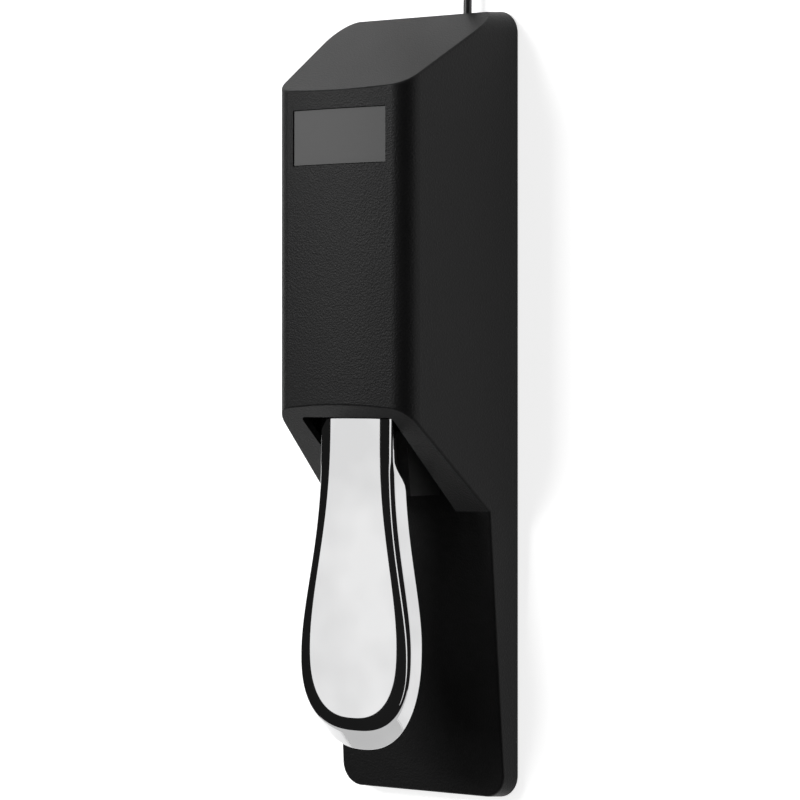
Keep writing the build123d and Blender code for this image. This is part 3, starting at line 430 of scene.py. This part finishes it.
def felt_pad(name, level):
    """Pressed wool: crossing fibres, no gloss."""
    finish = Finish(name, Roughness=0.95, Sheen_Weight=0.4)
    one_way = finish.grain(0.9 * MM, detail=4.0, stretch=(1.0, 0.15, 0.5))
    other_way = finish.grain(0.9 * MM, detail=4.0, stretch=(0.15, 1.0, 0.5))
    fibres = one_way * other_way * 2.0
    finish.set(
        Base_Color=finish.mix(fibres, grey(level * 0.6), grey(level * 1.5)),
        Normal=finish.bump(fibres, 0.3 * MM),
    )
    return finish


def smooth_plastic(name, colour, gloss=0.3, cloudy=0.15):
    """Unpainted moulded plastic: nearly smooth, with slight flow marks."""
    finish = Finish(name)
    flow = finish.grain(5 * MM, detail=3.0, stretch=(1.0, 0.4, 1.0))
    fine = finish.grain(0.4 * MM, detail=2.0)
    finish.set(
        Base_Color=finish.mix(flow, tinted(colour, 1 - cloudy), tinted(colour)),
        Roughness=gloss + 0.12 * flow + 0.06 * fine,
        Normal=finish.bump(fine, 0.01 * MM),
    )
    return finish


def paper_laminate(name):
    """Brown circuit laminate with its woven paper layers."""
    finish = Finish(name)
    warp = finish.grain(0.8 * MM, detail=3.0, stretch=(0.2, 1.0, 1.0))
    weft = finish.grain(0.8 * MM, detail=3.0, stretch=(1.0, 0.2, 1.0))
    weave = warp * weft * 2.0
    finish.set(
        Base_Color=finish.mix(weave, (0.20, 0.12, 0.045, 1.0), (0.34, 0.23, 0.10, 1.0)),
        Roughness=0.45 + 0.2 * weave,
        Normal=finish.bump(weave, 0.03 * MM),
    )
    return finish


mat_rubber = rubber("mat_rubber", 0.022)
stop_rubber = rubber("stop_rubber", 0.020)
soft_black = rubber("grommet_rubber", 0.014)
nylon = smooth_plastic("nylon", (0.78, 0.76, 0.68), gloss=0.38, cloudy=0.08)
switch_black = smooth_plastic("switch_plastic", (0.022, 0.022, 0.024))
button_white = smooth_plastic("button_plastic", (0.70, 0.70, 0.66), cloudy=0.06)
strap_black = smooth_plastic("clamp_plastic", (0.018, 0.018, 0.019), gloss=0.36)
red_sleeve = smooth_plastic("wire_red", (0.50, 0.03, 0.025))
black_sleeve = smooth_plastic("wire_black", (0.02, 0.02, 0.02))
grey_sleeve = smooth_plastic("wire_grey", (0.30, 0.30, 0.31))
collar_black = smooth_plastic("plug_insulation", (0.012, 0.012, 0.013), gloss=0.25)
plug_plastic = moulded("plug_plastic", level=0.016, gloss_low=0.38, gloss_high=0.5,
                       grain_size=0.5 * MM, depth=0.05 * MM)
FINISHED = {
    "rubber_mat": mat_rubber, "down_stop": stop_rubber, "up_stop_pad": felt_pad("felt", 0.10),
    "cable_grommet": soft_black, "plug_relief": soft_black, "pivot_bush_left": nylon,
    "pivot_bush_right": nylon, "spring_seat": nylon, "board_posts": nylon, "switch_body": switch_black,
    "polarity_body": switch_black, "switch_plunger": button_white, "polarity_slider": button_white,
    "cable_clamp": strap_black, "cable_tie": strap_black, "signal_wire": red_sleeve,
    "ground_wire": black_sleeve, "link_wires": grey_sleeve, "plug_insulator": collar_black,
    "plug_handle": plug_plastic, "switch_board": paper_laminate("board_laminate"),
}
for node, finish in FINISHED.items():
    dress(node, finish)
print("finishes:", len(bpy.data.materials))

# %% [markdown]
# ## The lead's jacket
# The jacket is soft PVC, pulled through a die, so its faint marks run along it. Marks placed in space would
# cut straight through the coil. A curve carries its own map, where one coordinate runs along the lead and
# the other around it, so the finish reads that map and the marks follow every bend.

# %% Lead finish
jacket = Finish("lead_jacket")
around = jacket.node("ShaderNodeTexCoord", output="UV")
drawn = jacket.node("ShaderNodeTexNoise", feeds={
    "Vector": jacket.node("ShaderNodeMapping", feeds={"Vector": around, "Scale": (300.0, 8.0, 1.0)}),
    "Scale": 4.0, "Detail": 3.0})
jacket.set(
    Base_Color=jacket.mix(drawn, grey(0.011), grey(0.020)),
    Roughness=0.36 + 0.14 * drawn,
    Normal=jacket.bump(drawn, 0.02 * MM),
)
dress("cable_inner", strap_black)
print("jacket finish:", len(jacket.tree.nodes), "nodes")

# %% [markdown]
# ## The lever's outlines
# On the real pedal the lever is pressed from thick sheet and chromed: a flat for the foot, a narrow ring
# that rolls away from it, and a skirt turned down all round the toe. Its plan could be drawn point by
# point, but then mirror-bright metal would show every unevenness. So each outline is a formula, a smooth
# swelling from the neck and a rounded end, and three sets of numbers give the flat, the ring and the skirt.
# Lengths are in millimetres.

# %% Outlines of the lever
LEVER_HINGE_LINE = Vector((0.0, -5.0, 43.25)) * MM
LEVER_PITCH = radians(0.88)
NECK_START = 5.0
NECK_BACK = -4.0
SHEET = 1.8
BEVEL_DROP = 1.0
SKIRT_BOTTOM = 6.1
OUTLINES = {
    "flat": dict(neck=9.7, widest=17.7, belly=79.0, reach=102.0, neck_power=1.28, toe_power=2.5),
    "ring": dict(neck=14.9, widest=22.9, belly=82.0, reach=106.5, neck_power=1.5, toe_power=2.5),
    "skirt": dict(neck=16.3, widest=24.0, belly=79.0, reach=113.0, neck_power=1.5, toe_power=2.35),
}
TURN_IN, TURN_DOWN = 0.85, 1.3     # the rounding between ring and skirt, along each
SKIRT_START, SKIRT_GROWTH = 17.5, 11.0
FLANK_ROWS = 40
TOE_ROWS = 36
LAST_ROW = FLANK_ROWS + TOE_ROWS


def smooth_step(share):
    """0 to 1 with level ends."""
    share = min(max(share, 0.0), 1.0)
    return share * share * (3 - 2 * share)


def outline_place(neck, widest, belly, reach, neck_power, toe_power, row):
    """Half width and distance ahead of the mouth, in millimetres, at a row."""
    if row == 0:
        return neck, NECK_BACK
    if row <= FLANK_ROWS:
        share = (row - 1) / (FLANK_ROWS - 1)
        across = neck + (widest - neck) * smooth_step(share ** neck_power)
        return across, NECK_START + (belly - NECK_START) * share
    angle = (pi / 2) * (row - FLANK_ROWS) / TOE_ROWS
    across = widest * max(cos(angle), 0.0) ** (2 / toe_power)
    return across, belly + (reach - belly) * sin(angle) ** (2 / toe_power)


def outline_row(name, row):
    """The same as a vector (x, y) with the toe along -Y."""
    across, ahead = outline_place(row=row, **OUTLINES[name])
    return Vector((0.0 if row == LAST_ROW else across, -ahead))


def outward(name, row):
    """Unit vector out of an outline at a row."""
    if row == LAST_ROW:
        return Vector((0.0, -1.0))
    along = outline_row(name, row + 1) - outline_row(name, max(row - 1, 0))
    return Vector((-along.y, along.x)).normalized()


def skirt_depth(ahead):
    """How far below the flat the skirt's lower edge is: it grows in just in front of the mouth."""
    return SHEET + (SKIRT_BOTTOM - SHEET) * smooth_step((ahead - SKIRT_START) / SKIRT_GROWTH)


print("lever outlines:", {name: outline["reach"] for name, outline in OUTLINES.items()})

# %% [markdown]
# ## A section of the lever
# At every row the lever has the same make-up: the flat, a crest where the ring begins to roll away, the
# corner between ring and skirt, the skirt's lip and the underside. Chrome shows a crease as a hard line, so
# each corner is turned by a short curve with its own reach on each side. A Bevel modifier would give every
# corner one width.

# %% Section of the lever
FLAT_MARGIN = 0.5                        # the flat is level up to here inside its outline
RING_START, RING_START_DROP = 0.1, 0.06  # share of the ring's width, and drop
CREST, CREST_DROP = 0.62, 0.36
LIP = 0.35                               # rounding of the skirt's lower edge


def bent(start, corner, end, count):
    """Points along a smooth bend through three places, without its first."""
    return [start * (1 - t) ** 2 + corner * 2 * t * (1 - t) + end * t * t
            for t in ((i + 1) / count for i in range(count))]


def section(row):
    """Half a section of the lever at a row, from the middle of the flat round to the middle underneath."""
    flat, ring, skirt = (outline_row(n, row) for n in ("flat", "ring", "skirt"))
    out = outward("flat", row)
    inner = flat - out * FLAT_MARGIN
    depth = skirt_depth(-ring.y)
    reach = (depth - BEVEL_DROP) / (SKIRT_BOTTOM - BEVEL_DROP)
    edge = ring.lerp(skirt, reach)
    flat_end = Vector((*inner, 0.0))
    ring_start = Vector((*flat.lerp(ring, RING_START), -RING_START_DROP))
    crest = Vector((*flat.lerp(ring, CREST), -CREST_DROP))
    corner = Vector((*ring, -BEVEL_DROP))
    low = Vector((*edge, -depth))
    before = corner + (crest - corner).normalized() * min(TURN_IN, 0.4 * (low - corner).length)
    after = corner + (low - corner).normalized() * min(TURN_DOWN, 0.5 * (low - corner).length)
    inside_low = low - Vector((*(outward("skirt", row) * SHEET), 0.0))
    inside_top = Vector((*(ring - outward("ring", row) * SHEET), -BEVEL_DROP - SHEET * 0.9))
    if depth < BEVEL_DROP + SHEET + 0.2:
        inside_top.z = -depth
        inside_low.z = -depth
    lip = min(LIP, 0.3 * (low - after).length)
    points = [Vector((inner.x * share, inner.y, 0.0)) for share in (0.0, 0.3, 0.6, 0.85)]
    points.append(flat_end)
    points += bent(flat_end, Vector((*flat, 0.0)), ring_start, 3)
    points += bent(ring_start, crest, before, 12)
    points += bent(before, corner, after, 8)
    points += [after.lerp(low, 0.5), low.lerp(after, lip / max((low - after).length, 1e-6))]
    points += bent(points[-1], low, low.lerp(inside_low, 0.2), 3)
    points += [low.lerp(inside_low, 0.8), inside_low, inside_low.lerp(inside_top, 0.5), inside_top]
    points += [Vector((inner.x * share, inner.y, -SHEET)) for share in (0.9, 0.5, 0.0)]
    return points


print("points in half a section:", len(section(FLANK_ROWS)))

# %% [markdown]
# ## The skin of the lever
# The sections are joined row by row from the neck to the tip, which keeps the faces in even strips along
# the ring, where the highlights run. Filling between a few outline curves would be shorter to write, but
# leaves long thin faces that mirror badly.

# %% Lay the skin of the lever
SAME_PLACE = 0.5e-6


def lever_skin():
    """The closed skin of the plate, before it is pitched, as a bmesh in metres."""
    skin = bmesh.new()
    rows = []
    for row in range(LAST_ROW + 1):
        half = section(row)
        loop = half + [Vector((-p.x, p.y, p.z)) for p in reversed(half[1:-1])]
        rows.append([skin.verts.new(p * MM) for p in loop])
    for near, far in zip(rows, rows[1:]):
        for i in range(len(near)):
            j = (i + 1) % len(near)
            skin.faces.new((near[i], near[j], far[j], far[i]))
    skin.faces.new(rows[0])
    bmesh.ops.remove_doubles(skin, verts=skin.verts, dist=SAME_PLACE)
    bmesh.ops.dissolve_degenerate(skin, edges=skin.edges, dist=0.4 * SAME_PLACE)
    bmesh.ops.recalc_face_normals(skin, faces=skin.faces)
    for face in skin.faces:
        face.smooth = len(face.verts) <= 4
    return skin


skin = lever_skin()
print("skin of the lever:", len(skin.faces), "faces")

# %% [markdown]
# ## Joining skin and arm
# On the real pedal plate and arm are one pressing, so here they become one piece: the skin is pitched about
# the hinge, and the engineering model's arm is cut off square just inside the mouth and added to it. Merging
# solids with a Boolean would also work, but it would break up the skin's even rows.

# %% Join skin and arm
def object_from(name, mesh_data, finish):
    """A piece at the origin from a bmesh."""
    mesh = bpy.data.meshes.new(name)
    mesh_data.to_mesh(mesh)
    mesh_data.free()
    mesh.materials.append(finish.material)
    made = bpy.data.objects.new(name, mesh)
    bpy.context.scene.collection.objects.link(made)
    return made


def merged_copy(node):
    """A CAD node's mesh with its loose triangles joined up."""
    copy = bmesh.new()
    copy.from_mesh(NODES[node].data)
    bmesh.ops.remove_doubles(copy, verts=copy.verts, dist=2 * SAME_PLACE)
    return copy


ARM_CUT = 3.8 * MM
pitch = (Matrix.Translation(LEVER_HINGE_LINE) @ Matrix.Rotation(-LEVER_PITCH, 4, "X")
         @ Matrix.Translation((0.0, NECK_START * MM, 0.0)))
bmesh.ops.transform(skin, matrix=pitch, verts=skin.verts)
arm = merged_copy("pedal_lever")
cut = bmesh.ops.bisect_plane(arm, geom=arm.verts[:] + arm.edges[:] + arm.faces[:],
                             plane_co=(0, ARM_CUT, 0), plane_no=(0, 1, 0), clear_inner=True)
cut_edges = [part for part in cut["geom_cut"] if isinstance(part, bmesh.types.BMEdge)]
bmesh.ops.holes_fill(arm, edges=cut_edges)
bmesh.ops.recalc_face_normals(arm, faces=arm.faces)
arm_mesh = bpy.data.meshes.new("arm")
arm.to_mesh(arm_mesh)
arm.free()
skin.from_mesh(arm_mesh)
bpy.data.meshes.remove(arm_mesh)
lever = object_from("lever", skin, chrome)     # a weighted normal keeps the large flat looking flat
even = lever.modifiers.new("even_shading", "WEIGHTED_NORMAL")
even.weight = 80
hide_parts("pedal_lever")
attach(lever, "pedal")
low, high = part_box("pedal_lever")
print("lever faces:", len(lever.data.polygons), "engineering box", [round(v, 4) for v in (*low, *high)])

# %% [markdown]
# ## Repeated pieces
# Screws and ribs are one shape set down again and again, and a spring is one section drawn along a path.
# They could be copied by a loop, but in Geometry Nodes the sizes stay named inputs that can be changed and
# seen at once. Each recipe is run on a few places and its result is kept as a plain mesh, because later
# steps and the export need real faces.

# %% Recipes
class Recipe:
    """A Geometry Nodes tree with named inputs that ends in one plain mesh of one material."""

    def __init__(self, name, **inputs):
        self.name = name
        self.inputs = inputs
        self.tree = bpy.data.node_groups.new(name, "GeometryNodeTree")
        interface = self.tree.interface
        interface.new_socket("Places", in_out="INPUT", socket_type="NodeSocketGeometry")
        interface.new_socket("Piece", in_out="OUTPUT", socket_type="NodeSocketGeometry")
        for label, value in inputs.items():
            kind = "NodeSocketInt" if isinstance(value, int) else "NodeSocketFloat"
            interface.new_socket(label, in_out="INPUT", socket_type=kind)
        self.inlet = self.tree.nodes.new("NodeGroupInput")

    def __getitem__(self, label):
        return self.inlet.outputs[label]

    def node(self, kind, settings=None, feeds=None, output=0):
        """Add a node: its settings, then its sockets. A list feeds a socket that takes several wires."""
        made = self.tree.nodes.new(kind)
        for name, value in (settings or {}).items():
            setattr(made, name, value)
        for name, value in (feeds or {}).items():
            for one in value if isinstance(value, list) else [value]:
                if isinstance(one, bpy.types.NodeSocket):
                    self.tree.links.new(one, made.inputs[name])
                else:
                    made.inputs[name].default_value = one
        return made.outputs[output]

    def vector(self, x=0.0, y=0.0, z=0.0):
        """Three numbers as one vector."""
        return self.node("ShaderNodeCombineXYZ", feeds={"X": x, "Y": y, "Z": z})

    def scaled(self, wire, factor, added=0.0):
        """A number times a factor, plus another."""
        return self.node("ShaderNodeMath", {"operation": "MULTIPLY_ADD"}, {0: wire, 1: factor, 2: added})

    def moved(self, geometry, place):
        """Geometry shifted to a place."""
        return self.node("GeometryNodeTransform", feeds={"Geometry": geometry, "Translation": place})

    def cook(self, geometry, places, finish):
        """Run the tree on the places and keep the result as a plain mesh object."""
        whole = self.node("GeometryNodeRealizeInstances", feeds={"Geometry": geometry})
        coated = self.node("GeometryNodeSetMaterial", feeds={"Geometry": whole, "Material": finish.material})
        self.tree.links.new(coated, self.tree.nodes.new("NodeGroupOutput").inputs[0])
        seeds = bpy.data.meshes.new(self.name)
        seeds.from_pydata(places, [], [])
        made = bpy.data.objects.new(self.name, seeds)
        bpy.context.scene.collection.objects.link(made)
        modifier = made.modifiers.new(self.name, "NODES")
        modifier.node_group = self.tree
        for socket in self.tree.interface.items_tree:
            if socket.name in self.inputs:
                modifier[socket.identifier] = self.inputs[socket.name]
        evaluated = made.evaluated_get(bpy.context.evaluated_depsgraph_get())
        mesh = bpy.data.meshes.new_from_object(evaluated)
        made.modifiers.clear()
        made.data = mesh
        return made


print("recipes ready")

# %% [markdown]
# ## Case screws
# Six pan-head screws hold the steel base to the case. On the real pedal they are turned from wire and each
# one stops at its own angle, so the recipe turns every head by a seeded random angle before it is set in
# place.

# %% Case screws
SCREW_FLOOR = 0.4 * MM
SCREW_ROWS = [(25, -112), (27, 12), (27, 112)]
SCREW_PLACES = [(side * x * MM, y * MM, SCREW_FLOOR) for side in (-1, 1) for x, y in SCREW_ROWS]
SCREW_SIZES = {
    "Head Radius": 2.8 * MM, "Head Height": 1.2 * MM, "Shank Radius": 1.5 * MM, "Shank Length": 4.6 * MM,
    "Slot Width": 0.9 * MM, "Slot Depth": 0.6 * MM, "Seed": 7,
}

screws = Recipe("case_screw_set", **SCREW_SIZES)
head = screws.moved(screws.node("GeometryNodeMeshCylinder", feeds={
    "Vertices": 48, "Radius": screws["Head Radius"], "Depth": screws["Head Height"]}),
    screws.vector(z=screws.scaled(screws["Head Height"], 0.5)))
slot_size = screws.scaled(screws["Head Radius"], 1.3)
slot_tall = screws.scaled(screws["Slot Depth"], 2.0)
crossed = [(slot_size, screws["Slot Width"], slot_tall), (screws["Slot Width"], slot_size, slot_tall)]
bars = [screws.node("GeometryNodeMeshCube", feeds={"Size": screws.vector(*sides)}) for sides in crossed]
head = screws.node("GeometryNodeMeshBoolean", {"operation": "DIFFERENCE"}, {"Mesh 1": head, "Mesh 2": bars})
shank = screws.node("GeometryNodeMeshCylinder", feeds={
    "Vertices": 24, "Radius": screws["Shank Radius"], "Depth": screws["Shank Length"]})
shank_middle = screws.scaled(screws["Shank Length"], 0.5, screws["Head Height"])
shank = screws.moved(shank, screws.vector(z=shank_middle))
one_screw = screws.node("GeometryNodeJoinGeometry", feeds={"Geometry": [shank, head]})
angle = screws.node("FunctionNodeRandomValue", {"data_type": "FLOAT"}, {
    2: 0.0, 3: pi, "Seed": screws["Seed"]}, output=1)
set_screws = screws.node("GeometryNodeInstanceOnPoints", feeds={
    "Points": screws["Places"], "Instance": one_screw, "Rotation": screws.vector(z=angle)})
case_screws = screws.cook(set_screws, SCREW_PLACES, screw_steel)
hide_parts("case_screws")
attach(case_screws, "base")
print("case screws:", len(case_screws.data.polygons), "faces")

# %% [markdown]
# ## The ribbed mat
# A thin rubber sheet under the base keeps the pedal from creeping. The real one is moulded with fine ribs
# across it, which grip the floor. The sheet is copied from the engineering model with its underside lifted
# by the height of a rib, and one rounded bar is set down row by row. Rows with screw holes or the slider's
# window are left out.

# %% Ribbed mat
RIB_TALL = 0.5 * MM
RIB_PITCH = 3
RIB_ZONES = [(-104, 4), (20, 78), (97, 104)]
MAT_UNDERSIDE = 0.1 * MM

mat = merged_copy("rubber_mat")
for corner in mat.verts:
    if corner.co.z < MAT_UNDERSIDE:
        corner.co.z = RIB_TALL
sheet = object_from("mat_sheet", mat, mat_rubber)
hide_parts("rubber_mat")
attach(sheet, "base")
rows = Recipe("mat_ribs", **{"Rib Radius": RIB_TALL, "Rib Length": 58.0 * MM, "Sides": 16})
bar = rows.node("GeometryNodeMeshCylinder", feeds={
    "Vertices": rows["Sides"], "Radius": rows["Rib Radius"], "Depth": rows["Rib Length"]})
bar = rows.node("GeometryNodeTransform", feeds={"Geometry": bar, "Rotation": (0.0, pi / 2, 0.0)})
ribs = rows.cook(rows.node("GeometryNodeInstanceOnPoints", feeds={"Points": rows["Places"], "Instance": bar}),
                 [(0.0, y * MM, RIB_TALL) for start, end in RIB_ZONES for y in range(start, end, RIB_PITCH)],
                 mat_rubber)
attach(ribs, "base")
print("mat ribs:", len(ribs.data.polygons), "faces, the lowest at", min(v.co.z for v in ribs.data.vertices))

# %% [markdown]
# ## Return spring
# Hard-drawn wire coiled on a mandrel lifts the lever. A round section follows a spiral. On the real pedal
# the spring shortens as the pedal goes down.

# %% Return spring
SPRING_FOOT = (0.0, 4.0 * MM, 5.75 * MM)
spring = Recipe("coil_spring", Turns=9.0, Radius=4.9 * MM, Height=34.7 * MM, Wire=0.65 * MM, Steps=40)
coil = spring.node("GeometryNodeCurveSpiral", feeds={
    "Resolution": spring["Steps"], "Rotations": spring["Turns"], "Start Radius": spring["Radius"],
    "End Radius": spring["Radius"], "Height": spring["Height"]})
round_section = spring.node("GeometryNodeCurvePrimitiveCircle", feeds={
    "Resolution": 14, "Radius": spring["Wire"]})
wire = spring.node("GeometryNodeCurveToMesh", feeds={
    "Curve": coil, "Profile Curve": round_section, "Fill Caps": True})
coils = spring.node("GeometryNodeInstanceOnPoints", feeds={"Points": spring["Places"], "Instance": wire})
return_spring = spring.cook(coils, [SPRING_FOOT], spring_steel)
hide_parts("return_spring")
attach(return_spring, "base")
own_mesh(return_spring)
print("return spring:", len(return_spring.data.polygons), "faces")

# %% [markdown]
# ## The lead
# A thin two-core lead, 2.8 mm across, leaves the rear wall through a rubber bush, drops to the floor and
# runs straight back. Its spare length is wound into a neat round coil with a strap, and the plug lies
# beside it. A chain of short tubes would kink at every joint, so the lead is one smooth curve. Its first
# and last points are listed, in millimetres, and the turns of the coil are laid by a loop, four
# wide and four high, because a wound lead fills its layers back and forth.

# %% Wind the coil
LEAD_DIAMETER = 2.8 * MM
LEAD_EXIT = Vector((17.0, 129.4813, 4.6)) * MM
LEAD_OUT = [(17.0, 141.0, 4.6), (18.2, 155.0, 2.4), (22.0, 171.0, 1.5), (27.4, 188.0, 1.55),
            (31.0, 204.0, 2.3), (31.4, 217.0, 2.3)]
LEAD_BACK = [(14.0, 241.4, 10.7), (3.0, 242.4, 10.6), (-7.0, 242.0, 9.6), (-17.8, 238.6, 7.4),
             (-24.0, 229.0, 5.6), (-24.0, 216.0, 5.6)]
COIL_MIDDLE = Vector((10.0, 220.0))
COIL_LIFT = 0.9
COIL_MEAN = 16.8
LAYERS = 4
ACROSS = 4
PER_TURN = 16
LANE_CHANGE = 0.2              # the last part of each turn, in which the lead crosses to the next lane


def coil_points():
    """The turns, layer by layer, each layer wound the other way across."""
    thick = LEAD_DIAMETER / MM
    first = atan2(LEAD_OUT[-1][1] - COIL_MIDDLE.y, LEAD_OUT[-1][0] - COIL_MIDDLE.x)
    last = atan2(LEAD_BACK[0][1] - COIL_MIDDLE.y, LEAD_BACK[0][0] - COIL_MIDDLE.x)
    turns = LAYERS * ACROSS
    lanes = []
    for layer in range(LAYERS):
        columns = range(ACROSS - 1, -1, -1) if layer % 2 == 0 else range(ACROSS)
        height = COIL_LIFT + (layer + 0.5) * thick
        lanes += [(COIL_MEAN + (column - (ACROSS - 1) / 2) * thick, height) for column in columns]
    lanes.append(lanes[-1])
    steps = round(turns * PER_TURN + PER_TURN * (last - first) / (2 * pi)) - 2
    bow = 1 / cos(pi / PER_TURN)
    points = []
    for step in range(1, steps):
        turn = step / PER_TURN
        lane, part = int(turn), turn % 1.0
        change = max(part - (1.0 - LANE_CHANGE), 0.0) / LANE_CHANGE
        here, after = lanes[min(lane, turns)], lanes[min(lane + 1, turns)]
        radius = here[0] + (after[0] - here[0]) * change
        height = here[1] + (after[1] - here[1]) * change
        angle = first + 2 * pi * turn
        points.append((COIL_MIDDLE.x + radius * bow * cos(angle),
                       COIL_MIDDLE.y + radius * bow * sin(angle), height))
    return points


print("turns of the coil:", LAYERS * ACROSS, "with", len(coil_points()), "points")

# %% [markdown]
# ## Laying the lead
# A moulded jacket bends evenly, so the points are joined by a spline of low order, which passes close to each
# of them and never kinks. Its bevel gives the round section. The three lengths of lead in the engineering
# model are replaced by this one curve.

# %% Lay the lead
def lead_curve(name, places, diameter):
    """One open NURBS lead through metres, with a round section."""
    curve = bpy.data.curves.new(name, "CURVE")
    curve.dimensions = "3D"
    spline = curve.splines.new("NURBS")
    spline.points.add(len(places) - 1)
    for point, place in zip(spline.points, places):
        point.co = (*place, 1.0)
    spline.order_u = 3
    spline.use_endpoint_u = True
    spline.resolution_u = 6
    curve.bevel_depth = diameter / 2
    curve.bevel_resolution = 3
    curve.use_fill_caps = True
    made = bpy.data.objects.new(name, curve)
    bpy.context.scene.collection.objects.link(made)
    return made


route = [LEAD_EXIT] + [Vector(p) * MM for p in LEAD_OUT + coil_points() + LEAD_BACK]
lead = lead_curve("lead", route, LEAD_DIAMETER)
lead.data.materials.append(jacket.material)
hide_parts("cable", "cable_coil", "cable_end")
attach(lead, "base")
print("lead:", len(route), "control points")
